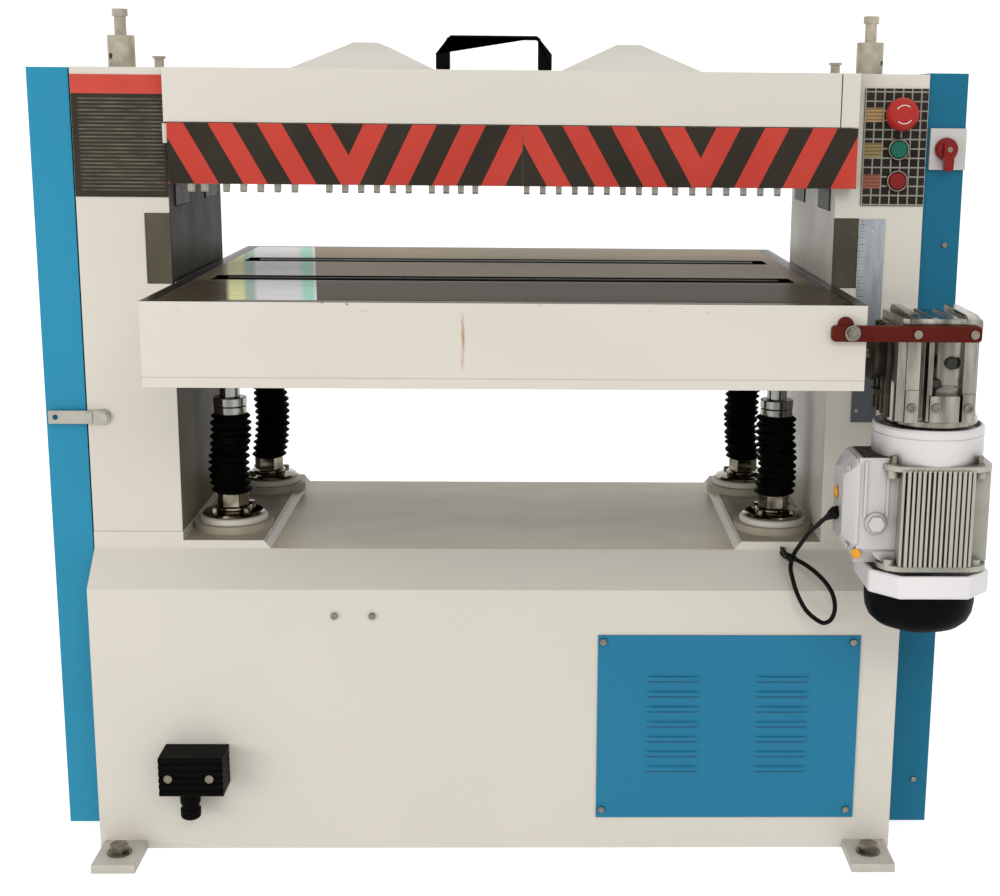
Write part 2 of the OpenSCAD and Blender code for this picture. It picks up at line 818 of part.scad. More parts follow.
module main_motor() {
    color([0.35, 0.4, 0.42]) difference() {
        union() {
            lying_motor(left_x + 40, left_x + 400, 90, 0, main_motor_z);
            bar_x(35, left_x + 25, left_x + 41, 0, main_motor_z);
        }
        bar_x(19 + running, left_x, left_x + 90, 0, main_motor_z);
    }
}

module motor_pulley() {
    color([0.3, 0.3, 0.3]) {
        bar_x(19, belt_x - belt_w, left_x + 88, 0, main_motor_z);
        bar_x(motor_pulley_r, belt_x - belt_w, belt_x, 0, main_motor_z);
        for (x = [belt_x - belt_w - 3, belt_x]) bar_x(motor_pulley_r + 9, x, x + 3, 0, main_motor_z);
    }
}

module feed_motor() {
    color([0.35, 0.4, 0.42]) difference() {
        union() {
            lying_motor(base_right_x - 300, base_right_x - 30, 62, 0, feed_motor_z);
            bar_x(25, base_right_x - 31, base_right_x - 15, 0, feed_motor_z);
        }
        bar_x(12 + running, base_right_x - 80, base_right_x, 0, feed_motor_z);
    }
}

module feed_sprocket() {
    color([0.45, 0.44, 0.42]) {
        bar_x(12, base_right_x - 78, chain_x + chain_w + 4, 0, feed_motor_z);
        translate([chain_x, 0, feed_motor_z]) rotate([90, 0, 90]) sprocket(feed_wheel_r, 16, chain_w);
    }
}

lift_motor_top = lift_wheel_z - 14;

module lift_motor() {
    color([0.35, 0.4, 0.42]) difference() {
        union() {
            bar_z(60, lift_motor_top - 190, lift_motor_top - 10, 0, lift_motor_y);
            bar_z(24, lift_motor_top - 11, lift_motor_top, 0, lift_motor_y);
            block([-75, lift_motor_y - 55, base_wall], [75, lift_motor_y + 70, lift_motor_top - 189]);
        }
        bar_z(10 + running, lift_motor_top - 60, lift_motor_top + 1, 0, lift_motor_y);
    }
}

module lift_sprocket() {
    color([0.45, 0.44, 0.42]) {
        bar_z(10, lift_motor_top - 58, lift_wheel_z + sprocket_t + 4, 0, lift_motor_y);
        translate([0, lift_motor_y, lift_wheel_z]) sprocket(lift_wheel_r, 20, sprocket_t);
    }
}

// ---------------------------------------------------------------- lift

module lift_nut(place) {
    color([0.6, 0.48, 0.24]) translate([place[0], place[1], 0]) difference() {
        union() {
            translate([0, 0, nut_low]) cylinder(r = nut_r, h = nut_top - nut_low);
            translate([0, 0, lift_wheel_z]) sprocket(lift_wheel_r, 20, sprocket_t);
        }
        translate([0, 0, nut_low - 1]) cylinder(r = screw_r + running, h = nut_top - nut_low + 2);
    }
}

module nut_front_left() { lift_nut(screws[0]); }
module nut_front_right() { lift_nut(screws[1]); }
module nut_rear_left() { lift_nut(screws[2]); }
module nut_rear_right() { lift_nut(screws[3]); }

// Bearing flanges on the ledges, each with a hexagon neck round the screw
module lift_flanges() {
    color([0.78, 0.77, 0.74]) for (s = screws) translate([s[0], s[1], flange_low]) difference() {
        union() {
            cylinder(r = flange_r, h = flange_t - 5);
            translate([0, 0, flange_t - 5]) cylinder(r = flange_r - 14, h = 5);
            translate([0, 0, flange_t]) hex_head(46, neck_h);
        }
        translate([0, 0, -1]) cylinder(r = screw_r + 0.6, h = flange_t + neck_h + 2);
        translate([0, 0, -1]) cylinder(r = nut_r + running, h = nut_top - flange_low + 1 + gap);
    }
}

// A folded rubber sleeve of the given length round a screw
module sleeve(length, r) {
    folds = round(length / bellows_pitch);
    pitch = length / folds;
    rotate_extrude() polygon(concat(
        [[screw_r + 4, 0]],
        [for (i = [0:folds - 1]) each [[r - 8, i * pitch], [r, (i + 0.5) * pitch]]],
        [[r - 8, length], [screw_r + 4, length]]));
}

module bellows_front() {
    color([0.04, 0.04, 0.04])
        for (s = front_screws) translate([s[0], s[1], neck_top]) sleeve(bellows_h, bellows_r);
}

module bellows_rear() {
    color([0.04, 0.04, 0.04])
        for (s = rear_screws) translate([s[0], s[1], neck_top])
            sleeve(table_low - neck_top, bellows_r - 2);
}

// Lift screws bolted under the table, with the collars that hold the front bellows
module lift_screws() {
    color([0.74, 0.73, 0.7]) {
        for (s = screws) bar_z(screw_r, table_low - screw_drop, table_low, s[0], s[1]);
        for (s = front_screws) bar_z(bellows_r - 7.5, collar_low, collar_low + collar_h, s[0], s[1]);
    }
}

// ---------------------------------------------------------------- table

// Plan of the table, taken in by an even amount
module table_plan(inset, low, high) {
    split = front_y - 10;
    left = -table_half + inset;
    right = table_half - inset;
    front = nose_y + inset;
    back = tail_y - inset;
    translate([0, 0, low]) linear_extrude(height = high - low) polygon([[left, split + inset],
        [left + nose_step, split + inset], [left + nose_step, front], [right + nose_extra, front],
        [right + nose_extra, split - inset], [right, split - inset], [right, back], [left, back]]);
}

module table_frame() {
    color([0.86, 0.83, 0.77]) {
        difference() {
            union() {
                difference() {
                    table_plan(0, table_low, table_h - 0.5);
                    table_plan(rim_w, table_low - 1, table_h);
                }
                // Saddles that the lift screws bolt to
                for (x = [-saddle_x - saddle_w, saddle_x])
                    block([x, nose_y + 1, table_low], [x + saddle_w, tail_y - 1, table_low + saddle_t]);
                // Cross ribs under the plate
                for (y = [nose_y + 120, 0, tail_y - 100])
                    block([-table_half + 5, y - 6, table_low + 10], [table_half - 5, y + 6, plate_low]);
            }
            // Bearing of the drive shaft, and room for the bed chain
            bar_x(bed_journal_r + running, bed_chain_x - 20, table_half + nose_extra + 1,
                drive_y, output_z);
            block([bed_chain_x - 3, nose_y + 30, table_low + saddle_t],
                [bed_chain_x + 9, tail_y - 60, plate_low + 1]);
        }
        // Bearing blocks of the bed rollers, standing on the saddles
        for (x = [-bed_block_x - bed_block_t, bed_block_x], y = [-bed_roller_y, bed_roller_y])
            difference() {
                block([x, y - 20, table_low + saddle_t], [x + bed_block_t, y + 20, plate_low]);
                bar_x(bed_journal_r + running, x - 1, x + bed_block_t + 1, y, bed_z);
            }
        // Shoes that run on the columns
        for (x = [-open_x + gap, table_half], y = [-bed_roller_y, bed_roller_y])
            block([x, y - shoe_half, table_low + 15], [x + table_gap - gap, y + shoe_half, table_h - 30]);
    }
}

module table_plate() {
    color([0.38, 0.37, 0.34]) difference() {
        table_plan(rim_w + 1, plate_low, table_h);
        // The slots follow the round of the bed rollers
        for (y = [-bed_roller_y, bed_roller_y])
            bar_x(bed_roller_r + slot_clear, -slot_half, slot_half, y, bed_z);
    }
}

module bed_roller(y) {
    color([0.7, 0.7, 0.68]) {
        bar_x(bed_roller_r, -bed_roller_half, bed_roller_half, y, bed_z);
        bar_x(bed_journal_r, -bed_block_x - bed_block_t, bed_chain_x + 7, y, bed_z);
        translate([bed_chain_x, y, bed_z]) rotate([90, 0, 90]) sprocket(bed_wheel_r, 9, 6);
    }
}

module bed_roller_front() { bed_roller(-bed_roller_y); }
module bed_roller_rear() { bed_roller(bed_roller_y); }

module bed_drive_shaft() {
    color([0.7, 0.7, 0.68]) {
        bar_x(bed_journal_r, bed_chain_x - 2, gear_x + 25, drive_y, output_z);
        translate([bed_chain_x, drive_y, output_z]) rotate([90, 0, 90]) sprocket(bed_wheel_r, 9, 6);
    }
}

// ---------------------------------------------------------------- gearmotor

gearbox_x = gear_x - gearbox_w / 2 - 4;

module gearbox() {
    rib = 8;
    top = gearbox_low + gearbox_h;
    color([0.72, 0.72, 0.72]) difference() {
        union() {
            block([gearbox_x + rib, gearbox_front_y + rib, gearbox_low + 12],
                [gearbox_x + gearbox_w - rib, gearbox_front_y + gearbox_d - rib, top]);
            for (i = [0:4])
                translate([gearbox_x + i * (gearbox_w - 14) / 4, gearbox_front_y, gearbox_low + 12])
                    cube([14, gearbox_d, gearbox_h - 12]);
            bar_z(66, gearbox_low, gearbox_low + 14, gear_x, gear_y);
            bar_x(38, gearbox_x - 12, gearbox_x + 10, drive_y, output_z);
        }
        bar_x(bed_journal_r + running, gearbox_x - 13, gear_x + 26, drive_y, output_z);
    }
}

motor_low = gearbox_low - 320;
fin_r = 101;

module gear_motor() {
    fins = 12;
    color([0.7, 0.71, 0.72]) {
        // Bell, finned body, end band and fan cowl
        bar_z(bell_r, gearbox_low - 66, gearbox_low, gear_x, gear_y);
        bar_z(76, gearbox_low - 235, gearbox_low - 60, gear_x, gear_y);
        for (i = [0:fins - 1])
            translate([gear_x, gear_y, gearbox_low - 222]) rotate([0, 0, -100 + i * 18])
                translate([70, -2.5, 0]) cube([fin_r - 70, 5, 150]);
        translate([gear_x, gear_y, gearbox_low - 254]) rotate([0, 0, 22.5])
            cylinder(r = 98, h = 28, $fn = 8);
        bar_z(80, motor_low, gearbox_low - 250, gear_x, gear_y);
        // Terminal box and its gland
        block([gear_x - 132, gear_y - 55, gearbox_low - 219], [gear_x - 40, gear_y + 35, gearbox_low - 36]);
        point_along([gear_x - 140, gear_y - 10, gearbox_low - 138],
            direction(cable_points[0], cable_points[1])) translate([0, 0, -18]) cylinder(r = 7, h = 18);
    }
}

arm_t = 12;
arm_h = 22;
arm_left_x = 458;
arm_len = 212;

module torque_arm() {
    mid = table_low + 82;
    color([0.45, 0.1, 0.08]) {
        block([arm_left_x + arm_h / 2, nose_y - arm_t, mid - arm_h / 2],
            [arm_left_x + arm_len - arm_h / 2, nose_y, mid + arm_h / 2]);
        for (x = [arm_left_x + arm_h / 2, arm_left_x + arm_len - arm_h / 2])
            bar_y(arm_h / 2, nose_y - arm_t, nose_y, x, mid);
        for (x = [arm_left_x + 29, arm_left_x + 122, arm_left_x + 203])
            bar_y(7, nose_y - arm_t - 6, nose_y - arm_t + 1, x, mid);
    }
}

// ---------------------------------------------------------------- cable

function heading_at(p, i) = i == 0 ? direction(p[0], p[1])
    : i == len(p) - 1 ? direction(p[i - 1], p[i])
    : direction(p[i - 1], p[i + 1]);

// One ring of eight points round the route at point i
function ring_at(p, i, r) =
    let (d = heading_at(p, i), u0 = cross(d, [0, 1, 0.01]), u = u0 / norm(u0), v = cross(d, u))
    [for (k = [0:7]) p[i] + r * (cos(k * 45) * u + sin(k * 45) * v)];

module swept_tube(p, r) {
    rings = len(p);
    polyhedron(
        points = [for (i = [0:rings - 1]) each ring_at(p, i, r)],
        faces = concat(
            [[for (k = [0:7]) 7 - k]],
            [[for (k = [0:7]) (rings - 1) * 8 + k]],
            [for (i = [0:rings - 2], k = [0:7])
                [i * 8 + k, i * 8 + (k + 1) % 8, (i + 1) * 8 + (k + 1) % 8, (i + 1) * 8 + k]]),
        convexity = 10);
}

module motor_cable() {
    color([0.05, 0.05, 0.05]) swept_tube(cable_points, cable_r);
}

// The clip that holds the cable clear of the slope, and the bush where it goes in
module cable_clip() {
    clip_top = tray_h + 5;
    color([0.2, 0.2, 0.2]) {
        difference() {
            union() {
                bar_z(7.5, tray_h - 1, clip_top, 450.9, -262.8);
                block([441, -262, tray_h + 0.5], [447, front_y, clip_top]);
            }
            bar_z(4.8, tray_h - 2, clip_top + 1, 450.9, -262.8);
        }
        cable_bush(0, 0);
    }
}

// ---------------------------------------------------------------- covers and controls

module left_door() {
    color([0.1, 0.5, 0.72]) {
        difference() {
            block([door_x - door_w, cover_front_y, cover_low], [door_x, cover_back_y, cover_top]);
            block([door_x - door_w + cover_t, cover_front_y + cover_t, cover_low + cover_t],
                [door_x + 1, cover_back_y - cover_t, cover_top - cover_t]);
        }
        // Knuckles at the back edge
        for (z = door_hinge_zs) difference() {
            union() {
                bar_z(5, z, z + door_hinge_h, door_pin_x, door_pin_y);
                block([door_pin_x - 4, cover_back_y - 2, z],
                    [door_pin_x - 1, door_pin_y, z + door_hinge_h]);
            }
            bar_z(3 + running, z - 1, z + door_hinge_h + 1, door_pin_x, door_pin_y);
        }
    }
}

module right_cover() {
    color([0.1, 0.5, 0.72]) difference() {
        block([right_cover_x, cover_front_y, cover_low],
            [right_cover_x + right_cover_w, cover_back_y, machine_h + 2]);
        block([right_cover_x - 1, cover_front_y + cover_t, cover_low + cover_t],
            [right_cover_x + right_cover_w - cover_t, cover_back_y - cover_t, machine_h + 2 - cover_t]);
    }
}

module isolator_knob() {
    color([0.7, 0.12, 0.1]) {
        bar_y(6, isolator_front - 1, cover_front_y - 3, isolator_x, isolator_z);
        bar_y(17, isolator_front - 14, isolator_front - gap, isolator_x, isolator_z);
        block([isolator_x - 9, isolator_front - 26, isolator_z - 33],
            [isolator_x + 9, isolator_front - 13, isolator_z + 17]);
    }
}

module estop_button() {
    color([0.7, 0.12, 0.1]) {
        bar_y(stem_r, bezel_front - estop_travel - 1, front_y + 10, control_x, button_zs[0]);
        bar_y(25, bezel_front - estop_travel - 19, bezel_front - estop_travel - 0.5,
            control_x, button_zs[0]);
    }
}

// A flat push button with its cap in the bezel
module flat_button(z) {
    bar_y(stem_r, bezel_front - 1.5, front_y + 10, control_x, z);
    bar_y(cap_r, bezel_front - 1.5, front_y - 2 - button_travel - gap, control_x, z);
}

module start_button() {
    color([0.1, 0.5, 0.35]) flat_button(button_zs[1]);
}

module stop_button() {
    color([0.7, 0.12, 0.1]) flat_button(button_zs[2]);
}

latch_pin_r = 4;
latch_back = front_y - 2.3;
latch_front = front_y - 6.5;

// Keeper of the latch, and the pins and lugs of the door's hinges
module door_fittings() {
    color([0.62, 0.6, 0.56]) {
        bar_y(latch_r, front_y - 2, front_y, latch_x, latch_z);
        bar_y(latch_pin_r, latch_front - 0.5, front_y - 1, latch_x, latch_z);
        bar_y(8, latch_front - 2.5, latch_front - gap, latch_x, latch_z);
        for (z = door_hinge_zs) {
            bar_z(3, z - 10, z + door_hinge_h + 10, door_pin_x, door_pin_y);
            for (low = [z - 11.5, z + door_hinge_h + 0.5]) {
                block([door_pin_x - lug_half, door_pin_y - lug_half, low],
                    [left_x, door_pin_y + lug_half, low + 11]);
                block([left_x - 2.5, door_pin_y - 30, low], [left_x, door_pin_y + lug_half, low + 11]);
            }
        }
    }
}

module latch_bar() {
    length = 84;
    half = 10.5;
    color([0.5, 0.49, 0.46]) difference() {
        union() {
            block([latch_x - length, latch_front, latch_z - half], [latch_x, latch_back, latch_z + half]);
            bar_y(half, latch_front, latch_back, latch_x, latch_z);
            block([latch_x - 26, latch_front - 3, latch_z - half + 2],
                [latch_x - 15, latch_front + 1, latch_z + half - 2]);
        }
        bar_y(latch_pin_r + running, latch_front - 4, latch_back + 1, latch_x, latch_z);
        bar_y(4, latch_front - 4, latch_back + 1, latch_x - 73, latch_z);
    }
}

base_cabinet();
column_left();
column_right();
rear_beam();
striped_guards();
front_plates();
switch_plates();
guideways();
pressure_adjusters();
bearing_housings();
pressure_bars();
finger_shaft();
lift_flanges();
main_motor();
feed_motor();
lift_motor();
drive_belts();
feed_chain();
lift_chain();
right_cover();
vent_panel();
panel_screws();
mains_inlet();
foot_plates();
foot_bolts();
cable_clip();
motor_cable();
bellows_front();
bellows_rear();
door_fittings();
left_door();
latch_bar();
hood_shell();
hood_handle();
dust_chutes();
table_frame();
table_plate();
lift_screws();
gearbox();
gear_motor();
torque_arm();
bed_chain();
bed_roller_front();
bed_roller_rear();
bed_drive_shaft();
cutterhead();
motor_pulley();
infeed_roller();
outfeed_roller();
feed_sprocket();
kickback_fingers();
nut_front_left();
nut_front_right();
nut_rear_left();
nut_rear_right();
lift_sprocket();
estop_button();
start_button();
stop_button();
isolator_knob();
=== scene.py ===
"""Looks of a wide thickness planer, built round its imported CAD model.

Everything is in metres in the CAD frame: X to the right, Y towards the outfeed side, Z up from the floor.
"""

import json
import math
import random

import bmesh
import bpy
from mathutils import Matrix, Vector


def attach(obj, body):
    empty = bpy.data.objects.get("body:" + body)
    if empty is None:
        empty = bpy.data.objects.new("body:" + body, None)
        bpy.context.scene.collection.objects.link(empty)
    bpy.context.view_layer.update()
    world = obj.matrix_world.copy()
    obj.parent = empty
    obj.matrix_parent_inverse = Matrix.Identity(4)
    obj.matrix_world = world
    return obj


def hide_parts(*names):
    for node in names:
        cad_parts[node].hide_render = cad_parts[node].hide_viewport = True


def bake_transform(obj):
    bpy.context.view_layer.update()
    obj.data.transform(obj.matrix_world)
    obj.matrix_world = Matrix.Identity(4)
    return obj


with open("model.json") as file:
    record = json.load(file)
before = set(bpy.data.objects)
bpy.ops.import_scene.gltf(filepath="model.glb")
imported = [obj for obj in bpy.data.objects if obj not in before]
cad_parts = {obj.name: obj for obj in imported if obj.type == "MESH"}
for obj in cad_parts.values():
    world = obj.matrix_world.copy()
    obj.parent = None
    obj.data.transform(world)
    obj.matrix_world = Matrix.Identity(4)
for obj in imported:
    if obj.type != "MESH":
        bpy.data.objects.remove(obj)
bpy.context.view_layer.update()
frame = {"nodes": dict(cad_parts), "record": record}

MM = 0.001
BODY_OF = {
    node: body
    for body, nodes in frame["record"]["behaviour"]["bodies"].items()
    for node in nodes
}
SLOT_OF = {s["node"]: s["material_slot"] for s in frame["record"]["subparts"]}


# ------------------------------------------------------------------ camera, lights and floor


def make_camera():
    """The camera stands in front of the machine at eye height and looks slightly down."""
    data = bpy.data.cameras.new("camera")
    data.sensor_width = 36.0
    data.lens = 57.6
    data.shift_x = -0.0664
    camera = bpy.data.objects.new("camera", data)
    bpy.context.collection.objects.link(camera)
    turn = Matrix.Rotation(-0.0234, 4, "Z")
    tilt = Matrix.Rotation(math.pi / 2 - 0.2102, 4, "X")
    roll = Matrix.Rotation(0.0091, 4, "Z")
    camera.matrix_world = Matrix.Translation((0.0413, -2.6584, 1.173)) @ turn @ tilt @ roll
    bpy.context.scene.camera = camera


def area_light(name, place, target, size, power):
    data = bpy.data.lights.new(name, "AREA")
    data.shape = "RECTANGLE"
    data.size, data.size_y = size
    data.energy = power
    light = bpy.data.objects.new(name, data)
    bpy.context.collection.objects.link(light)
    light.location = place
    light.rotation_euler = (Vector(target) - Vector(place)).to_track_quat("-Z", "Y").to_euler()
    light.visible_glossy = False


def make_studio():
    """White surroundings, a large soft key from the front left and a broad light from the front."""
    world = bpy.data.worlds.new("studio")
    world.use_nodes = True
    world.node_tree.nodes["Background"].inputs["Color"].default_value = (1, 1, 1, 1)
    world.node_tree.nodes["Background"].inputs["Strength"].default_value = 1.22
    bpy.context.scene.world = world
    bpy.context.scene.view_settings.view_transform = "Standard"
    area_light("key", (-3.4, -3.4, 0.8), (0.2, 0, 0.6), (2.6, 1.4), 66)
    area_light("front", (0.7, -4.1, 3.1), (0, -0.1, 0.5), (3.0, 1.4), 66)


def make_floor():
    mesh = bpy.data.meshes.new("floor")
    half = 9.0
    mesh.from_pydata(
        [(-half, -half, 0), (half, -half, 0), (half, half, 0), (-half, half, 0)], [], [(0, 1, 2, 3)]
    )
    floor = bpy.data.objects.new("floor", mesh)
    bpy.context.collection.objects.link(floor)
    white = surface("floor", rgb(160, 160, 160), 0.9, shade=0.01, shine=0.0)
    shader = white.node_tree.nodes["Principled BSDF"]
    shader.inputs["Emission Color"].default_value = (1, 1, 1, 1)
    shader.inputs["Emission Strength"].default_value = 0.9
    mesh.materials.append(white)


# ------------------------------------------------------------------ materials


def rgb(red, green, blue):
    """A colour given as it looks on a screen, made linear."""
    return tuple((v / 255 / 12.92) if v < 11 else ((v / 255 + 0.055) / 1.055) ** 2.4
                 for v in (red, green, blue))


# Paints are given as they look under the studio's light, which is this share of what reaches them
LIT = 0.64


class Nodes:
    """Short ways to add shader nodes to one material."""

    def __init__(self, name, colour, roughness, metallic=0.0, shine=0.5):
        self.lit = LIT if metallic < 0.5 else 1.0
        self.material = bpy.data.materials.new(name)
        self.material.use_nodes = True
        self.tree = self.material.node_tree
        self.shader = self.tree.nodes["Principled BSDF"]
        self.shader.inputs["Base Color"].default_value = (*colour, 1)
        self.shader.inputs["Roughness"].default_value = roughness
        self.shader.inputs["Metallic"].default_value = metallic
        self.shader.inputs["Specular IOR Level"].default_value = shine
        self.material.diffuse_color = (*colour, 1)
        self.place = self.tree.nodes.new("ShaderNodeTexCoord").outputs["Object"]

    def wire(self, source, socket):
        if isinstance(source, bpy.types.NodeSocket):
            self.tree.links.new(source, socket)
        else:
            socket.default_value = source

    def math(self, operation, a, b=0.0):
        node = self.tree.nodes.new("ShaderNodeMath")
        node.operation = operation
        for value, socket in zip((a, b), node.inputs):
            self.wire(value, socket)
        return node.outputs[0]

    def noise(self, scale, detail=3.0, stretch=(1, 1, 1), roughness=0.5):
        mapping = self.tree.nodes.new("ShaderNodeMapping")
        self.wire(self.place, mapping.inputs["Vector"])
        mapping.inputs["Scale"].default_value = stretch
        noise = self.tree.nodes.new("ShaderNodeTexNoise")
        self.wire(mapping.outputs[0], noise.inputs["Vector"])
        noise.inputs["Scale"].default_value = scale
        noise.inputs["Detail"].default_value = detail
        noise.inputs["Roughness"].default_value = roughness
        return noise.outputs["Fac"]

    def span(self, value, low, high, to_low=0.0, to_high=1.0):
        """Maps low..high to to_low..to_high and holds it there."""
        node = self.tree.nodes.new("ShaderNodeMapRange")
        for source, socket in zip((value, low, high, to_low, to_high), node.inputs):
            self.wire(source, socket)
        return node.outputs[0]

    def mix(self, share, a, b):
        node = self.tree.nodes.new("ShaderNodeMix")
        node.data_type = "RGBA"
        self.wire(share, node.inputs[0])
        self.wire(a if isinstance(a, bpy.types.NodeSocket) else (*a, 1), node.inputs[6])
        self.wire(b if isinstance(b, bpy.types.NodeSocket) else (*b, 1), node.inputs[7])
        return node.outputs[2]

    def axis(self, index):
        split = self.tree.nodes.new("ShaderNodeSeparateXYZ")
        self.wire(self.place, split.inputs[0])
        return split.outputs[index]

    def colour(self, source):
        dim = self.tree.nodes.new("ShaderNodeVectorMath")
        dim.operation = "MULTIPLY"
        self.wire(source, dim.inputs[0])
        dim.inputs[1].default_value = (self.lit, self.lit, self.lit)
        self.wire(dim.outputs[0], self.shader.inputs["Base Color"])

    def rough(self, source):
        self.wire(source, self.shader.inputs["Roughness"])

    def metal(self, source):
        self.wire(source, self.shader.inputs["Metallic"])

    def bump(self, height, strength, distance):
        node = self.tree.nodes.new("ShaderNodeBump")
        node.inputs["Strength"].default_value = strength
        node.inputs["Distance"].default_value = distance
        self.wire(height, node.inputs["Height"])
        self.wire(node.outputs[0], self.shader.inputs["Normal"])


def scaled(colour, factor):
    return tuple(min(1.0, v * factor) for v in colour)


def surface(name, colour, roughness, metallic=0.0, shade=0.05, patch=3.0, grain=400.0, grain_depth=0.0,
            stretch=(1, 1, 1), dirt_and_shade=None, dirt_and_shade_share=0.0, shine=0.5):
    """A finish whose colour drifts in soft patches, with a fine grain and, if asked, painted shade in its
    corners and creases, mottled like grime.
    """
    made = Nodes(name, colour, roughness, metallic, shine)
    patches = made.noise(patch, 4.0, stretch)
    tone = made.mix(made.span(patches, 0.3, 0.7), scaled(colour, 1 - shade), scaled(colour, 1 + shade))
    # Painted shade: the colour darkens where ambient occlusion finds a corner or crease, mottled like grime
    if dirt_and_shade:
        hidden = made.tree.nodes.new("ShaderNodeAmbientOcclusion")
        hidden.inputs["Distance"].default_value = 0.05
        hidden.samples = 4
        blotch = made.span(made.noise(14.0, 5.0), 0.35, 0.7, 0.3, 1.0)
        corner = made.span(hidden.outputs["AO"], 0.35, 0.95, dirt_and_shade_share, 0.0)
        tone = made.mix(made.math("MULTIPLY", corner, blotch), tone, dirt_and_shade)
    made.colour(tone)
    worn = made.noise(patch * 5, 5.0, stretch)
    made.rough(made.span(worn, 0.2, 0.8, roughness * 0.82, min(1, roughness * 1.2)))
    if grain_depth:
        made.bump(made.noise(grain, 2.0, stretch), 0.5, grain_depth)
    return made.material


CREAM = rgb(216, 210, 198)
cream = surface("cream_paint", CREAM, 0.42, shade=0.02, grain=900, grain_depth=0.00006, shine=0.35,
                dirt_and_shade=rgb(120, 104, 80), dirt_and_shade_share=0.45)
blue = surface("blue_paint", rgb(36, 138, 172), 0.40, shade=0.05, grain=900, grain_depth=0.00005, shine=0.2)
steel = surface("machined_steel", rgb(168, 164, 154), 0.32, 1.0, shade=0.12, patch=20, grain=600,
                grain_depth=0.00003)
bright = surface("bright_steel", rgb(126, 120, 108), 0.22, 1.0, shade=0.3, patch=90)
black = surface("black_plastic", rgb(9, 9, 8), 0.42, shade=0.2, grain=1500, grain_depth=0.00008, shine=0.03)
rubber = surface("black_rubber", rgb(8, 8, 7), 0.5, shade=0.25, grain=900, grain_depth=0.00010, shine=0.1)
bronze = surface("bronze", rgb(170, 130, 66), 0.35, 1.0, shade=0.15, patch=30)
motor_grey = surface("motor_grey", rgb(70, 78, 82), 0.5, shade=0.08)


# ------------------------------------------------------------------ making pieces


def mark_sharp(bm):
    """Shades the faces smooth, apart from the edges that turn by more than 32 degrees."""
    limit = math.radians(32)
    for face in bm.faces:
        face.smooth = True
    for edge in bm.edges:
        edge.smooth = edge.calc_face_angle(0.0) < limit


def soften(obj, width, segments):
    bevel = obj.modifiers.new("edges", "BEVEL")
    bevel.width = width
    bevel.segments = segments
    bevel.limit_method = "ANGLE"
    bevel.angle_limit = math.radians(40)
    bevel.harden_normals = True
    bevel.use_clamp_overlap = True


def link(name, bm, material, body, bevel=0.0, segments=2, replaces=(), slot=None, unit=MM):
    """Turns a bmesh, in millimetres unless unit says otherwise, into a piece.

    body None leaves the piece unattached.
    """
    for vertex in bm.verts:
        vertex.co *= unit
    bmesh.ops.recalc_face_normals(bm, faces=bm.faces)
    mark_sharp(bm)
    mesh = bpy.data.meshes.new(name)
    bm.to_mesh(mesh)
    bm.free()
    for one in material if isinstance(material, (list, tuple)) else [material]:
        mesh.materials.append(one)
    obj = bpy.data.objects.new(name, mesh)
    bpy.context.collection.objects.link(obj)
    if bevel:
        soften(obj, bevel, segments)
    if body:
        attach(obj, body)
    if replaces:
        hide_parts(*replaces)
        slot = slot or SLOT_OF[replaces[0]]
    return obj


def dress(node, material, bevel, pick=None):
    """A CAD node with rounded edges and a finish; pick gives a face's material from its middle and normal."""
    bm = bmesh.new()
    bm.from_mesh(frame["nodes"][node].data)
    bmesh.ops.remove_doubles(bm, verts=bm.verts, dist=2e-6)
    bmesh.ops.dissolve_limit(bm, angle_limit=math.radians(0.6), verts=bm.verts, edges=bm.edges)
    for face in bm.faces:
        face.material_index = pick(face.calc_center_median(), face.normal) if pick else 0
    link("piece_" + node, bm, material, BODY_OF[node], bevel, replaces=(node,), unit=1)


def box(bm, low, high, slot=0):
    low, high = Vector(low), Vector(high)
    shape = Matrix.Translation((low + high) / 2) @ Matrix.Diagonal((*(high - low), 1))
    made = bmesh.ops.create_cube(bm, size=1.0, matrix=shape)
    for face in {f for v in made["verts"] for f in v.link_faces}:
        face.material_index = slot


UP, FORWARD = (0, 0, 1), (0, -1, 0)


def facing(axis):
    """Turns +Z to the given axis."""
    return Vector(UP).rotation_difference(Vector(axis)).to_matrix().to_4x4()


def lathe(bm, profile, place, axis=UP, steps=48, slot=0):
    """Turns a profile of (radius, height) round an axis through place."""
    turn = Matrix.Translation(place) @ facing(axis)
    rings = []
    for radius, height in profile:
        if radius < 1e-7:
            rings.append([bm.verts.new(turn @ Vector((0, 0, height)))])
            continue
        rings.append([
            bm.verts.new(turn @ Vector((radius * math.cos(a), radius * math.sin(a), height)))
            for a in (2 * math.pi * k / steps for k in range(steps))
        ])
    for one, other in zip(rings, rings[1:]):
        for k in range(steps):
            n = (k + 1) % steps
            corners = [one[k % len(one)], one[n % len(one)], other[n % len(other)], other[k % len(other)]]
            corners = list(dict.fromkeys(corners))
            if len(corners) > 2:
                bm.faces.new(corners).material_index = slot
    for ring in (rings[0], rings[-1]):
        if len(ring) > 2:
            bm.faces.new(ring).material_index = slot


def prism(bm, outline, low, high, axis="Y", slot=0):
    """An outline of two coordinates carried from low to high along one axis."""
    order = {"X": lambda p, h: (h, p[0], p[1]), "Y": lambda p, h: (p[0], h, p[1]),
             "Z": lambda p, h: (p[0], p[1], h)}[axis]
    ends = [[bm.verts.new(order(p, h)) for p in outline] for h in (low, high)]
    for ring in ends:
        bm.faces.new(ring).material_index = slot
    for k in range(len(outline)):
        n = (k + 1) % len(outline)
        bm.faces.new((ends[0][k], ends[0][n], ends[1][n], ends[1][k])).material_index = slot


def skin(bm, rings):
    """Joins rings of equal length side by side and closes the first and the last."""
    for one, other in zip(rings, rings[1:]):
        for k in range(len(one)):
            n = (k + 1) % len(one)
            bm.faces.new((one[k], one[n], other[n], other[k]))
    for ring in (rings[0], rings[-1]):
        bm.faces.new(ring)


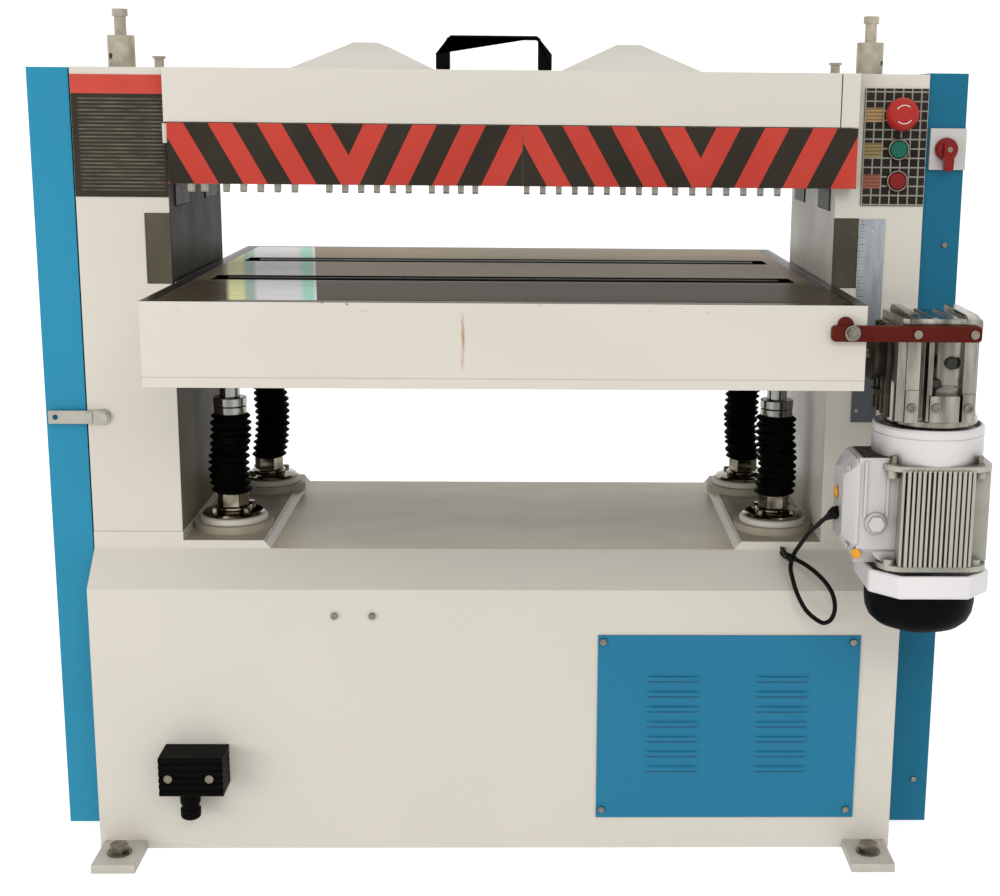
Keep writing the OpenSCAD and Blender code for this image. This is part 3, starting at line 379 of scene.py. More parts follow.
def tube_along(bm, points, radius, steps):
    """A round tube through points, with its frame carried along."""
    points = [Vector(p) for p in points]
    side = None
    rings = []
    for i, point in enumerate(points):
        ahead = (points[min(i + 1, len(points) - 1)] - points[max(i - 1, 0)]).normalized()
        side = ahead.orthogonal() if side is None else side - ahead * side.dot(ahead)
        side = side.normalized()
        up = ahead.cross(side)
        rings.append([
            bm.verts.new(point + (side * math.cos(a) + up * math.sin(a)) * radius)
            for a in (2 * math.pi * k / steps for k in range(steps))
        ])
    skin(bm, rings)


def smooth_route(points, parts):
    """Catmull-Rom curve through points."""
    points = [Vector(p) for p in points]
    padded = [points[0] * 2 - points[1], *points, points[-1] * 2 - points[-2]]
    route = []
    for i in range(1, len(padded) - 2):
        p0, p1, p2, p3 = padded[i - 1:i + 3]
        for k in range(parts):
            t = k / parts
            route.append(0.5 * ((2 * p1) + (p2 - p0) * t + (2 * p0 - 5 * p1 + 4 * p2 - p3) * t * t
                                + (3 * p1 - p0 - 3 * p2 + p3) * t ** 3))
    route.append(points[-1])
    return route


def hex_bolt(bm, place, axis, across, height, washer=0.0, slot=0):
    """A hexagon head with a chamfered top, on a washer if asked."""
    corner = across / 2 / math.cos(math.pi / 6)
    if washer:
        lathe(bm, [(washer, 0), (washer, 1.6), (washer * 0.93, 2.2)], place, axis, 32, slot)
    base = Vector(place) + Vector(axis).normalized() * (2 if washer else 0)
    lathe(bm, [(corner, 0), (corner, height * 0.85), (corner * 0.86, height)], base, axis, 6, slot)


# ------------------------------------------------------------------ the motor's cable

make_camera()

CABLE_R = 3.5
CABLE = [
    (484, -395, 592), (476, -380, 581), (470, -352, 563), (466, -330, 550), (461, -305, 530),
    (458, -282, 513), (454, -264, 496), (450, -262, 481), (449, -266, 469), (452, -272, 455),
    (456, -278, 441), (463, -282, 425), (473, -286, 409), (488, -288, 396), (500, -290, 391),
    (511, -290, 397), (516, -290, 414), (513, -288, 434), (503, -284, 452), (488, -276, 467),
    (474, -264, 476), (463, -246, 479), (455, -229, 479),
]


def make_cable():
    route = smooth_route(CABLE, 8)
    bm = bmesh.new()
    tube_along(bm, route, CABLE_R, 14)
    cable = link("motor_lead", bm, rubber, None, replaces=("motor_cable",))
    return cable


cable = make_cable()
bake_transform(cable)

make_studio()
make_floor()


# ------------------------------------------------------------------ special finishes


def between(made, value, low, high, soft=0.0002):
    """1 where value lies from low to high, else 0."""
    up = made.span(value, low - soft, low + soft)
    down = made.span(value, high - soft, high + soft, 1.0, 0.0)
    return made.math("MULTIPLY", up, down)


STRIPE_TOP = 1.1405
STRIPE_PAIR = 0.0724
STRIPE_START = 0.0219
STRIPE_SLOPE = 0.53
STRIPE_LEAN = 0.035


def stripe_material(name, middle):
    """Red and black hazard stripes that lean away from a middle line, as printed film."""
    made = Nodes(name, rgb(196, 66, 56), 0.5, shine=0.06)
    x, z = made.axis(0), made.axis(2)
    below = made.math("SUBTRACT", STRIPE_TOP, z)
    across = made.math("SUBTRACT", x, made.math("MULTIPLY", below, STRIPE_LEAN))
    run = made.math("ADD", made.math("ABSOLUTE", made.math("SUBTRACT", across, middle)),
                    made.math("MULTIPLY", below, STRIPE_SLOPE))
    # Ten whole pairs of stripes keep the count above nought
    run = made.math("ADD", run, 10 * STRIPE_PAIR - STRIPE_START)
    share = made.math("FRACT", made.math("DIVIDE", run, STRIPE_PAIR))
    red = made.mix(made.span(made.noise(9, 4), 0.3, 0.7), rgb(190, 64, 54), rgb(202, 72, 60))
    dark = made.mix(made.span(made.noise(9, 4), 0.3, 0.7), rgb(48, 43, 36), rgb(58, 52, 43))
    made.colour(made.mix(made.math("GREATER_THAN", share, 0.5), red, dark))
    made.rough(made.span(made.noise(60, 4), 0.2, 0.8, 0.36, 0.5))
    return made.material


# Dark bands round the table's slots: from and to, either side of its middle, and half their length
SLOT_BAND = (0.116, 0.184)
SLOT_REACH = 0.452
# The painted reflection, a pale patch on the plate, is measured at this Y; each side has its X there and how
# fast it drifts left going back
REFLECTION_Y = -0.31
REFLECTION_LEFT, REFLECTION_LEFT_DRIFT = -0.402, 0.189
REFLECTION_RIGHT, REFLECTION_RIGHT_DRIFT = -0.272, 0.135


def ground_iron():
    """The table's ground plate: oily dark iron with fine marks that run across the machine, and a painted
    reflection in a pale patch.
    """
    made = Nodes("ground_iron", rgb(120, 112, 102), 0.3, 0.3, shine=0.0)
    x, y = made.axis(0), made.axis(1)
    long_marks = made.noise(42, 6, (0.035, 5, 1), 0.65)
    patches = made.noise(2.2, 4, (1, 1.6, 1))
    tone = made.mix(made.span(patches, 0.3, 0.72), rgb(126, 109, 84), rgb(172, 154, 126))
    tone = made.mix(made.math("MULTIPLY", made.span(long_marks, 0.40, 0.66), 0.6), tone, rgb(200, 182, 152))
    tone = made.mix(made.span(y, -0.22, -0.12, 0.85, 0.0), tone, rgb(46, 40, 27))
    # Painted reflection: a pale patch with bands of tint between two slanting edges
    back = made.math("SUBTRACT", y, REFLECTION_Y)
    right = made.math("SUBTRACT", REFLECTION_RIGHT, made.math("MULTIPLY", back, REFLECTION_RIGHT_DRIFT))
    left = made.math("SUBTRACT", REFLECTION_LEFT, made.math("MULTIPLY", back, REFLECTION_LEFT_DRIFT))
    share = made.math("DIVIDE", made.math("SUBTRACT", x, left), made.math("SUBTRACT", right, left))
    streak = made.span(made.noise(30, 4, (0.25, 4, 1)), 0.3, 0.7, 0.78, 1.0)
    reflection = scaled(rgb(222, 236, 152), 1.5)
    for start, end, colour in ((0.17, 0.22, rgb(150, 176, 160)), (0.29, 0.34, rgb(255, 250, 228)),
                               (0.80, 0.88, rgb(156, 214, 190)), (0.965, 0.972, rgb(240, 255, 228))):
        reflection = made.mix(made.span(share, start, end), reflection, scaled(colour, 1.5))
    inside = made.math("MULTIPLY", made.span(share, -0.02, 0.03), made.math("LESS_THAN", share, 1.0))
    tone = made.mix(made.math("MULTIPLY", inside, streak), tone, reflection)
    # Oil and resin left beside the two rollers
    bands = between(made, made.math("ABSOLUTE", y), *SLOT_BAND, 0.0015)
    bands = made.math("MULTIPLY", bands, made.math("LESS_THAN", made.math("ABSOLUTE", x), SLOT_REACH))
    made.colour(made.mix(bands, tone, rgb(17, 14, 10)))
    made.metal(made.span(bands, 0, 1, 0.3, 0.0))
    made.rough(made.span(long_marks, 0.2, 0.8, 0.24, 0.42))
    made.bump(made.noise(900, 2, (0.02, 1, 1)), 0.35, 0.00003)
    return made.material


RIM_TOP = 0.9070
RIM_GROOVE = (0.4755, 0.4915)
RIM_SEAM = (0.8005, 0.8025)
RUST_X = (-0.0545, -0.0505)
RUST_Z = (0.818, 0.890)


def casting_paint():
    """Cream paint on the table's rim, whose machined top is bare, with a rust run down the front."""
    made = Nodes("table_paint", CREAM, 0.42, shine=0.05)
    x, y, z = made.axis(0), made.axis(1), made.axis(2)
    tone = made.mix(made.span(made.noise(3, 4), 0.3, 0.7), scaled(CREAM, 0.96), scaled(CREAM, 1.03))
    # Chips and stains along the top edge
    chips = made.math("MULTIPLY", made.span(made.noise(70, 5), 0.66, 0.7), made.span(z, 0.893, 0.905))
    tone = made.mix(chips, tone, rgb(120, 86, 62))
    # Rust run
    wander = made.math("ADD", x, made.span(made.noise(45, 3), 0, 1, -0.004, 0.004))
    run = made.math("MULTIPLY", between(made, wander, *RUST_X, 0.0012),
                    made.span(made.noise(70, 4, (1, 1, 0.4)), 0.36, 0.6))
    run = made.math("MULTIPLY", run, between(made, z, *RUST_Z, 0.008))
    run = made.math("MULTIPLY", run, made.math("LESS_THAN", y, 0.0))
    tone = made.mix(made.math("MULTIPLY", run, 0.8), tone, rgb(172, 122, 84))
    # Seam of the lower band
    seam = between(made, z, *RIM_SEAM, 0.0004)
    tone = made.mix(made.math("MULTIPLY", seam, 0.35), tone, rgb(150, 142, 128))
    top = made.math("GREATER_THAN", z, RIM_TOP)
    iron = made.mix(made.span(made.noise(40, 4, (0.3, 1, 1)), 0.3, 0.7),
                    rgb(48, 43, 34), rgb(84, 76, 62))
    groove = between(made, made.math("ABSOLUTE", x), *RIM_GROOVE, 0.0006)
    iron = made.mix(groove, iron, rgb(10, 9, 7))
    made.colour(made.mix(top, tone, iron))
    made.rough(made.span(top, 0, 1, 0.42, 0.3))
    made.metal(made.math("MULTIPLY", top, made.span(groove, 0, 1, 0.4, 0.0)))
    return made.material


TRAY_Z = (0.484, 0.486)
LEDGE_Z = (0.4935, 0.5135)
COLUMN_FRONT = -0.2035
INNER_HALF = 0.5045


def base_paint():
    """Cream paint, browned on the tray and dark with oil on the ledges round the screws."""
    made = Nodes("base_paint", CREAM, 0.42, shine=0.35)
    x, y, z = made.axis(0), made.axis(1), made.axis(2)
    tone = made.mix(made.span(made.noise(3, 4), 0.3, 0.7), scaled(CREAM, 0.98), scaled(CREAM, 1.02))
    behind = made.math("GREATER_THAN", y, COLUMN_FRONT)
    tray = made.math("MULTIPLY", behind, between(made, z, *TRAY_Z))
    stain = made.mix(made.span(made.noise(5, 6, (0.6, 1.4, 1), 0.65), 0.35, 0.7),
                     rgb(240, 230, 208), rgb(216, 203, 176))
    tone = made.mix(tray, tone, stain)
    ledge = made.math("MULTIPLY", behind, between(made, z, *LEDGE_Z))
    ledge = made.math("MULTIPLY", ledge, made.math("LESS_THAN", made.math("ABSOLUTE", x), INNER_HALF))
    oil = made.mix(made.span(made.noise(9, 5), 0.3, 0.7), rgb(150, 140, 118), rgb(190, 182, 164))
    tone = made.mix(ledge, tone, oil)
    made.colour(tone)
    made.bump(made.noise(900, 2), 0.5, 0.00006)
    return made.material


def wall_paint(name, low_x, high_x, inside, lower):
    """Cream outside; the machined faces between two X values, behind the front, are bare oily metal drawn
    dark with painted shade, lighter towards the bottom.
    """
    made = Nodes(name, CREAM, 0.42, shine=0.03)
    x, y, z = made.axis(0), made.axis(1), made.axis(2)
    tone = made.mix(made.span(made.noise(3, 4), 0.3, 0.7), scaled(CREAM, 0.97), scaled(CREAM, 1.02))
    bare = made.mix(made.span(made.noise(6, 5, (1, 1, 0.4)), 0.3, 0.7),
                    scaled(inside, 0.8), scaled(inside, 1.2))
    bare = made.mix(made.span(z, 0.55, 0.85), lower, bare)
    mask = made.math("MULTIPLY", made.math("GREATER_THAN", x, low_x), made.math("LESS_THAN", x, high_x))
    mask = made.math("MULTIPLY", mask, made.math("GREATER_THAN", y, -0.2045))
    mask = made.math("MULTIPLY", mask, made.math("LESS_THAN", y, 0.2045))
    made.colour(made.mix(mask, tone, bare))
    made.rough(made.span(made.noise(12, 5), 0.2, 0.8, 0.36, 0.5))
    return made.material


def label_material():
    """A dark plate with worn blank rules under a bare red band."""
    made = Nodes("blank_label", rgb(72, 68, 58), 0.5, shine=0.03)
    x, z = made.axis(0), made.axis(2)
    base = made.mix(made.span(made.noise(12, 4), 0.3, 0.7), rgb(52, 48, 40), rgb(66, 61, 51))
    step = made.math("FRACT", made.math("DIVIDE", z, 0.0056))
    rule = made.math("MULTIPLY", made.span(step, 0.30, 0.40), made.span(step, 0.62, 0.72, 1.0, 0.0))
    rule = made.math("MULTIPLY", rule, between(made, x, -0.634, -0.509, 0.002))
    rule = made.math("MULTIPLY", rule, between(made, z, 1.042, 1.180, 0.001))
    rule = made.math("MULTIPLY", rule, made.span(made.noise(30, 5, (1, 1, 5)), 0.34, 0.62, 0.15, 0.75))
    tone = made.mix(rule, base, rgb(132, 126, 110))
    band = made.math("GREATER_THAN", z, 1.1862)
    red = made.mix(made.span(made.noise(20, 4), 0.3, 0.7), rgb(196, 74, 62), rgb(208, 84, 72))
    made.colour(made.mix(band, tone, red))
    return made.material


def scale_material():
    """The thickness scale: a blue-grey strip with plain ticks."""
    made = Nodes("scale_strip", rgb(160, 166, 170), 0.42, 0.2, shine=0.3)
    x, z = made.axis(0), made.axis(2)
    wear = made.noise(28, 6, (3, 1, 0.5), 0.65)
    tone = made.mix(made.span(wear, 0.3, 0.7), rgb(146, 156, 162), rgb(188, 194, 198))
    tone = made.mix(made.math("MULTIPLY", made.span(wear, 0.6, 0.72), 0.5), tone, rgb(92, 96, 96))
    for step, reach, share in ((0.005, 0.0065, 0.22), (0.010, 0.011, 0.13)):
        mark = made.math("LESS_THAN", made.math("FRACT", made.math("DIVIDE", z, step)), share)
        mark = made.math("MULTIPLY", mark, made.math("LESS_THAN", x, 0.544 + reach))
        mark = made.math("MULTIPLY", mark, made.span(made.noise(50, 3), 0.3, 0.6, 0.1, 0.6))
        tone = made.mix(mark, tone, rgb(64, 68, 70))
    tone = made.mix(made.span(z, 0.80, 0.93, 0.8, 0.0), tone, rgb(66, 68, 72))
    hole = 0.0
    for height in (0.772, 1.058):
        reach = made.math("ADD", made.math("POWER", made.math("SUBTRACT", x, 0.566), 2.0),
                          made.math("POWER", made.math("SUBTRACT", z, height), 2.0))
        spot = made.math("LESS_THAN", reach, 0.0045 ** 2)
        hole = spot if hole == 0.0 else made.math("MAXIMUM", hole, spot)
    made.colour(made.mix(hole, tone, rgb(34, 32, 30)))
    return made.material


GRID_PITCH = 0.014


def panel_material():
    """The control panel: dark film with a silver grid and bare coloured fields beside the buttons."""
    made = Nodes("panel_film", rgb(40, 36, 32), 0.5, shine=0.05)
    x, z = made.axis(0), made.axis(2)
    tone = made.mix(made.span(made.noise(14, 4), 0.3, 0.7), rgb(34, 31, 28), rgb(54, 48, 42))
    grid = 0.0
    for value, start in ((x, 0.5435), (z, 1.0300)):
        from_edge = made.math("SUBTRACT", value, start - 10 * GRID_PITCH)
        step = made.math("FRACT", made.math("DIVIDE", from_edge, GRID_PITCH))
        line = made.math("LESS_THAN", step, 0.15)
        grid = line if grid == 0.0 else made.math("MAXIMUM", grid, line)
    tone = made.mix(made.math("MULTIPLY", grid, 0.85), tone, rgb(160, 156, 144))
    fields = ((1.166, rgb(186, 152, 104)), (1.114, rgb(150, 136, 92)), (1.067, rgb(158, 96, 78)))
    for middle, field in fields:
        mask = made.math("MULTIPLY", between(made, z, middle - 0.0115, middle + 0.0095),
                         between(made, x, 0.5455, 0.572))
        rows = made.span(made.math("FRACT", made.math("DIVIDE", z, 0.0052)), 0.3, 0.6)
        tone = made.mix(mask, tone, made.mix(made.math("MULTIPLY", rows, 0.55), field, rgb(84, 62, 44)))
    made.colour(tone)
    return made.material


def fold_rubber():
    """Dusty black rubber of the bellows, paler where dust lies in patches."""
    made = Nodes("bellows_rubber", rgb(7, 7, 6), 0.5, shine=0.02)
    dust = made.noise(60, 6, (1, 1, 2), 0.7)
    made.colour(made.mix(made.span(dust, 0.5, 0.8), rgb(7, 7, 6), rgb(26, 24, 20)))
    made.rough(made.span(dust, 0.2, 0.8, 0.38, 0.72))
    made.bump(made.noise(420, 3), 0.4, 0.0004)
    return made.material


stripes_left = stripe_material("stripes_left", -0.2309)
stripes_right = stripe_material("stripes_right", 0.2931)
iron_plate = ground_iron()
table_paint = casting_paint()
body_paint = base_paint()
# The left column's dark inner face is bare metal with painted shade
left_wall = wall_paint("left_column_paint", -0.5065, -0.40, rgb(64, 58, 44), rgb(128, 120, 100))
label_film = label_material()
scale_strip = scale_material()
panel_film = panel_material()
bellows_rubber = fold_rubber()
# Painted reflections: the strong light and dark patches of both chromes, drawn out along the rods on
# rod_chrome
chrome = surface("chrome", rgb(120, 112, 98), 0.12, 1.0, shade=0.7, patch=44)
rod_chrome = surface("rod_chrome", rgb(142, 142, 138), 0.14, 1.0, shade=0.55, patch=60, stretch=(1, 1, 0.06))
foot_paint = surface("foot_paint", rgb(206, 200, 188), 0.45, shade=0.07, patch=40, shine=0.35,
                     dirt_and_shade=rgb(120, 112, 96), dirt_and_shade_share=0.6)
zinc = surface("zinc", rgb(206, 200, 186), 0.4, 0.3, shade=0.14, patch=60, grain=900, grain_depth=0.00004)
# Painted reflections and shade: the polished alloy's strong light and dark patches stand for reflections, and
# the alloy, the motor's bell, its fins and the terminal box darken heavily in corners and creases as painted
# shade
alloy = surface("polished_alloy", rgb(152, 147, 137), 0.17, 1.0, shade=0.6, patch=46, grain=500,
                grain_depth=0.00004, stretch=(1, 1, 0.12), dirt_and_shade=rgb(46, 40, 33), dirt_and_shade_share=0.95)
bell_paint = surface("motor_silver", rgb(222, 219, 216), 0.36, 0.1, shade=0.04, patch=8, shine=0.4,
                     dirt_and_shade=rgb(52, 48, 42), dirt_and_shade_share=0.95)
band_paint = surface("motor_band", rgb(230, 227, 226), 0.34, 0.1, shade=0.03, patch=6, shine=0.4)
fin_alloy = surface("fin_alloy", rgb(190, 187, 173), 0.36, 0.35, shade=0.10, patch=30, grain=500,
                    grain_depth=0.0001, stretch=(1, 1, 0.1), dirt_and_shade=rgb(44, 41, 34), dirt_and_shade_share=1.0)
box_paint = surface("terminal_box", rgb(208, 205, 202), 0.3, 0.2, shade=0.05, patch=24, stretch=(1, 1, 0.2),
                    dirt_and_shade=rgb(96, 90, 80), dirt_and_shade_share=0.7)
orange_plastic = surface("orange_plastic", rgb(240, 160, 36), 0.35, shade=0.05, shine=0.3)
guide_brown = surface("guide_iron", rgb(84, 77, 60), 0.5, 0.4, shade=0.3, patch=14, grain=260,
                      grain_depth=0.00012, stretch=(1, 1, 0.4))
arm_red = surface("arm_red", rgb(88, 30, 22), 0.4, 0.0, shade=0.16, patch=22, shine=0.03,
                  dirt_and_shade=rgb(36, 18, 15), dirt_and_shade_share=0.5)
red_plastic = surface("red_plastic", rgb(176, 40, 32), 0.28, shade=0.06, shine=0.2)
dark_red = surface("dark_red_plastic", rgb(132, 26, 24), 0.3, shade=0.08, shine=0.15)
green_plastic = surface("green_plastic", rgb(22, 100, 80), 0.3, shade=0.06, shine=0.15)
side_blue = surface("side_blue", rgb(26, 106, 136), 0.42, shade=0.1, patch=2, shine=0.1)
adjuster_zinc = surface("adjuster_zinc", rgb(156, 148, 132), 0.36, 0.7, shade=0.2, patch=60)
# Painted shade: the vent's corners and creases darken to a deep blue
vent_blue = surface("vent_blue", rgb(40, 122, 156), 0.42, shade=0.03, patch=2, grain=900, grain_depth=0.00004,
                    shine=0.1, dirt_and_shade=rgb(16, 58, 80), dirt_and_shade_share=0.5)
belt_black = surface("belt_black", rgb(24, 24, 23), 0.7, shade=0.2)
chain_steel = surface("oily_chain", rgb(88, 82, 72), 0.35, 0.9, shade=0.2, patch=60)
cast_iron = surface("cast_iron", rgb(62, 56, 46), 0.5, 0.4, shade=0.3, patch=30, grain=300,
                    grain_depth=0.0002,
                    shine=0.2)
roller_iron = surface("roller_iron", rgb(40, 36, 29), 0.5, 0.3, shade=0.2, patch=30, shine=0.2)


# ------------------------------------------------------------------ nodes that keep their CAD shape

for node, material, width in (
    ("base_cabinet", body_paint, 0.0025), ("column_left", left_wall, 0.002), ("column_right", cream, 0.002),
    ("rear_beam", cream, 0.0015), ("hood_shell", cream, 0.0022), ("dust_chutes", cream, 0.003),
    ("table_frame", table_paint, 0.0018), ("table_plate", iron_plate, 0.0006),
    ("guideways", guide_brown, 0.0008), ("bearing_housings", cast_iron, 0.002),
    ("pressure_bars", cast_iron, 0.002), ("finger_shaft", steel, 0.0005),
    ("right_cover", side_blue, 0.0025), ("left_door", blue, 0.0025), ("latch_bar", steel, 0.0012),
    ("door_fittings", steel, 0.0008), ("foot_plates", foot_paint, 0.0035), ("foot_bolts", bright, 0.0010),
    ("hood_handle", black, 0.003), ("kickback_fingers", zinc, 0.0006), ("cable_clip", rubber, 0.0005),
    ("cutterhead", steel, 0.0006), ("infeed_roller", steel, 0.0006), ("outfeed_roller", steel, 0.0006),
    ("bed_roller_front", roller_iron, 0.0008), ("bed_roller_rear", roller_iron, 0.0008),
    ("bed_drive_shaft", bright, 0.0006), ("lift_screws", rod_chrome, 0.0015),
    ("pressure_adjusters", adjuster_zinc, 0.0012), ("panel_screws", bright, 0.0012),
):
    dress(node, material, width)

for node, material in (
    ("main_motor", motor_grey), ("feed_motor", motor_grey), ("lift_motor", motor_grey),
    ("drive_belts", belt_black), ("feed_chain", chain_steel), ("lift_chain", chain_steel),
    ("bed_chain", chain_steel), ("motor_pulley", cast_iron), ("feed_sprocket", steel),
    ("lift_sprocket", steel), ("nut_front_left", bronze), ("nut_front_right", bronze),
    ("nut_rear_left", bronze), ("nut_rear_right", bronze),
):
    for holder in frame["nodes"][node].material_slots:
        holder.link = "OBJECT"
        holder.material = material

dress("striped_guards", [cream, stripes_left, stripes_right], 0.0008,
      pick=lambda c, n: 0 if n.y > -0.9 or c.y > -0.2365 else (1 if c.x < 0.029 else 2))
dress("front_plates", [label_film, scale_strip], 0.0004, pick=lambda c, n: 0 if c.x < 0 else 1)


# ------------------------------------------------------------------ switches


PANEL_Y = -207
BUTTON_X = 597
ESTOP_Z, START_Z, STOP_Z = 1166, 1114, 1067
ISOLATOR_X, ISOLATOR_Z = 669, 1115


def make_switch_panel():
    """The film-covered panel, the bezels of its three buttons and the isolator's plate."""
    bm = bmesh.new()
    box(bm, (543, PANEL_Y, 1029), (639, PANEL_Y + 2, 1204))
    for z in (ESTOP_Z, START_Z, STOP_Z):
        lathe(bm, [(16.5, 0), (16.5, 4.6), (15.6, 6), (13.8, 6), (13.2, 4.6), (13.0, 0.2)],
              (BUTTON_X, PANEL_Y, z), FORWARD, 48, 1)
    box(bm, (645, -208, 1084), (700, -200, 1146), slot=2)
    link("switch_panel", bm, [panel_film, bright, plate_grey], "frame", 0.0007, 2, ("switch_plates",))


def make_estop():
    """A mushroom head with a turned groove and two pale arcs round its crown."""
    bm = bmesh.new()
    lathe(bm, [(10.7, 0), (10.7, 12), (21, 12.2), (24.3, 14), (25, 17), (24.4, 21), (22, 25), (18.5, 27.6),
               (16.8, 27.4), (15.6, 28.2), (9, 29.8), (0, 30.4)], (BUTTON_X, PANEL_Y, ESTOP_Z), FORWARD, 64)
    for start in (0.9, 4.0):
        arc = [(BUTTON_X + 13.5 * math.cos(a), PANEL_Y - 29.2, ESTOP_Z + 13.5 * math.sin(a))
               for a in (start + k * 0.15 for k in range(12))]
        tube_along(bm, arc, 0.9, 8)
    piece = link("estop_head", bm, [red_plastic, pale], "estop", 0, 2, ("estop_button",))
    for face in piece.data.polygons:
        if len(face.vertices) == 4 and face.center.y < -0.2366 and 0.0118 < math.dist(
                (face.center.x, face.center.z), (BUTTON_X * MM, ESTOP_Z * MM)) < 0.0152 and face.area < 6e-6:
            face.material_index = 1


def make_flat_button(name, z, material, body, node):
    bm = bmesh.new()
    lathe(bm, [(10.7, 4.1), (12.5, 4.3), (12.5, 6.4), (11.7, 7.4), (9.5, 7.9), (0, 8.2)],
          (BUTTON_X, PANEL_Y, z), FORWARD, 48)
    link(name, bm, material, body, 0, 2, (node,))


def make_isolator():
    """A round red knob with a long grip that points down, held by one screw."""
    bm = bmesh.new()
    lathe(bm, [(6, -6), (6, 0), (17, 0.4), (17.4, 2), (17, 8), (15.5, 10.5), (12, 12), (0, 12.4)],
          (ISOLATOR_X, PANEL_Y - 1.4, ISOLATOR_Z), FORWARD, 56)
    grip = [(660.5, 1123), (663, 1126), (675, 1126), (677.5, 1123), (676, 1086), (673, 1082.5), (665, 1082.5),
            (662, 1086)]
    prism(bm, grip, -221, -233.5)
    lathe(bm, [(4.4, 0), (4.2, 1.4), (2, 1.5), (1.4, 0.5), (0, 0.5)],
          (ISOLATOR_X, -233.5, ISOLATOR_Z), FORWARD, 24, 1)
    link("isolator_grip", bm, [dark_red, bright], "isolator", 0.0012, 3, ("isolator_knob",))


plate_grey = surface("plate_grey", rgb(206, 202, 196), 0.4, 0.3, shade=0.05)
pale = surface("pale_marks", rgb(238, 226, 220), 0.4, shade=0.02)
make_switch_panel()
make_estop()
make_flat_button("start_cap", START_Z, green_plastic, "start", "start_button")
make_flat_button("stop_cap", STOP_Z, dark_red, "stop", "stop_button")
make_isolator()


# ------------------------------------------------------------------ lift


def make_bellows(name, node, x, y, low, high, folds, radius, lean, seed, first):
    """A moulded rubber bellows whose folds bulge unevenly and whose middle sags to one side."""
    draw = random.Random(seed)
    steps = 40
    bm = bmesh.new()
    rings = []
    span = high - low
    pitch = span / folds
    sizes = [radius * draw.uniform(0.94, 1.0) for _ in range(folds)]
    tilts = [draw.uniform(-1.3, 1.3) for _ in range(folds + 1)]
    shape = ((0.0, 0.81), (0.16, 0.84), (0.34, 0.96), (0.5, 1.0), (0.66, 0.96), (0.84, 0.84))
    for fold in range(folds):
        for part, share in shape:
            t = (fold + part) / folds
            sag = math.sin(math.pi * t) * 0.7 + math.sin(2 * math.pi * t) * 0.45
            tilt = tilts[fold] * (1 - part) + tilts[fold + 1] * part
            ends = min(1.0, min(t, 1 - t) * 14)
            r = sizes[fold] * share
            rings.append([
                bm.verts.new((
                    x + lean[0] * sag + r * math.cos(a),
                    y + lean[1] * sag + r * math.sin(a),
                    low + t * span + tilt * ends * math.cos(a + seed) * pitch * 0.28,
                ))
                for a in (2 * math.pi * k / steps for k in range(steps))
            ])
    r = radius * 0.78
    rings.append([bm.verts.new((x + r * math.cos(a), y + r * math.sin(a), high))
                  for a in (2 * math.pi * k / steps for k in range(steps))])
    skin(bm, rings)
    piece = link(name, bm, bellows_rubber, None, replaces=(node,) if first else (), slot=SLOT_OF[node])
    for polygon in piece.data.polygons:
        polygon.use_smooth = True
    for edge in piece.data.edges:
        edge.use_edge_sharp = False
    smooth = piece.modifiers.new("round", "SUBSURF")
    smooth.levels = smooth.render_levels = 1
    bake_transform(piece)


FRONT_SCREWS = ((-442, -110), (442, -110))
REAR_SCREWS = ((-427, 160), (427, 160))
NECK_TOP, COLLAR_LOW, TABLE_LOW = 554, 686, 787
for i, (x, y) in enumerate(FRONT_SCREWS):
    make_bellows(f"front_bellows_{i}", "bellows_front", x, y, NECK_TOP, COLLAR_LOW, 12, 34,
                 (-5.0 if i == 0 else 4.0, -1.0), 5 + i, i == 0)
    bm = bmesh.new()
    lathe(bm, [(17, COLLAR_LOW - 1), (25.5, COLLAR_LOW - 1), (26, COLLAR_LOW), (26, 696), (25, 697.5),
               (17, 697.5)], (x, y, 0))
    link(f"screw_collar_{i}", bm, rod_chrome, "table", 0, 2, slot=SLOT_OF["lift_screws"])
for i, (x, y) in enumerate(REAR_SCREWS):
    make_bellows(f"rear_bellows_{i}", "bellows_rear", x, y, NECK_TOP, TABLE_LOW, 21, 32,
                 (9.0 if i == 0 else -7.0, -2.0), 11 + i, i == 0)


def make_flanges():
    """Chromed bearing flanges on painted bosses, each with four bolts and a hexagon neck."""
    bm = bmesh.new()
    for x, y in FRONT_SCREWS + REAR_SCREWS:
        lathe(bm, [(18, 510), (55, 510), (55, 514), (53.5, 518), (51, 519.5), (18, 519.5)],
              (x, y, 0), steps=64)
        lathe(bm, [(18, 519.5), (49, 519.5), (50, 521.5), (47.5, 524.5), (41, 526.5), (29, 528), (18, 528)],
              (x, y, 0), steps=64, slot=1)
        lathe(bm, [(25, 527), (25, 552), (24, 554.5), (21, 555), (18, 555)], (x, y, 0), steps=6, slot=1)
        lathe(bm, [(27.6, 527), (29.5, 529), (29.5, 532), (27, 533.5)], (x, y, 0), steps=40, slot=1)
        for k in range(4):
            a = math.radians(45 + 90 * k)
            place = (x + 36 * math.cos(a), y + 36 * math.sin(a), 524)
            hex_bolt(bm, place, UP, 11, 7.5, 8, 1)
    link("screw_flanges", bm, [cream, chrome], "frame", 0.0005, 2, ("lift_flanges",))


make_flanges()


# ------------------------------------------------------------------ gearmotor

GEAR = (624, -385)
# The motor's middle, and how far its flange bolts stand from that each way
MOTOR = (GEAR[0] - 3, GEAR[1])
LUG = 62


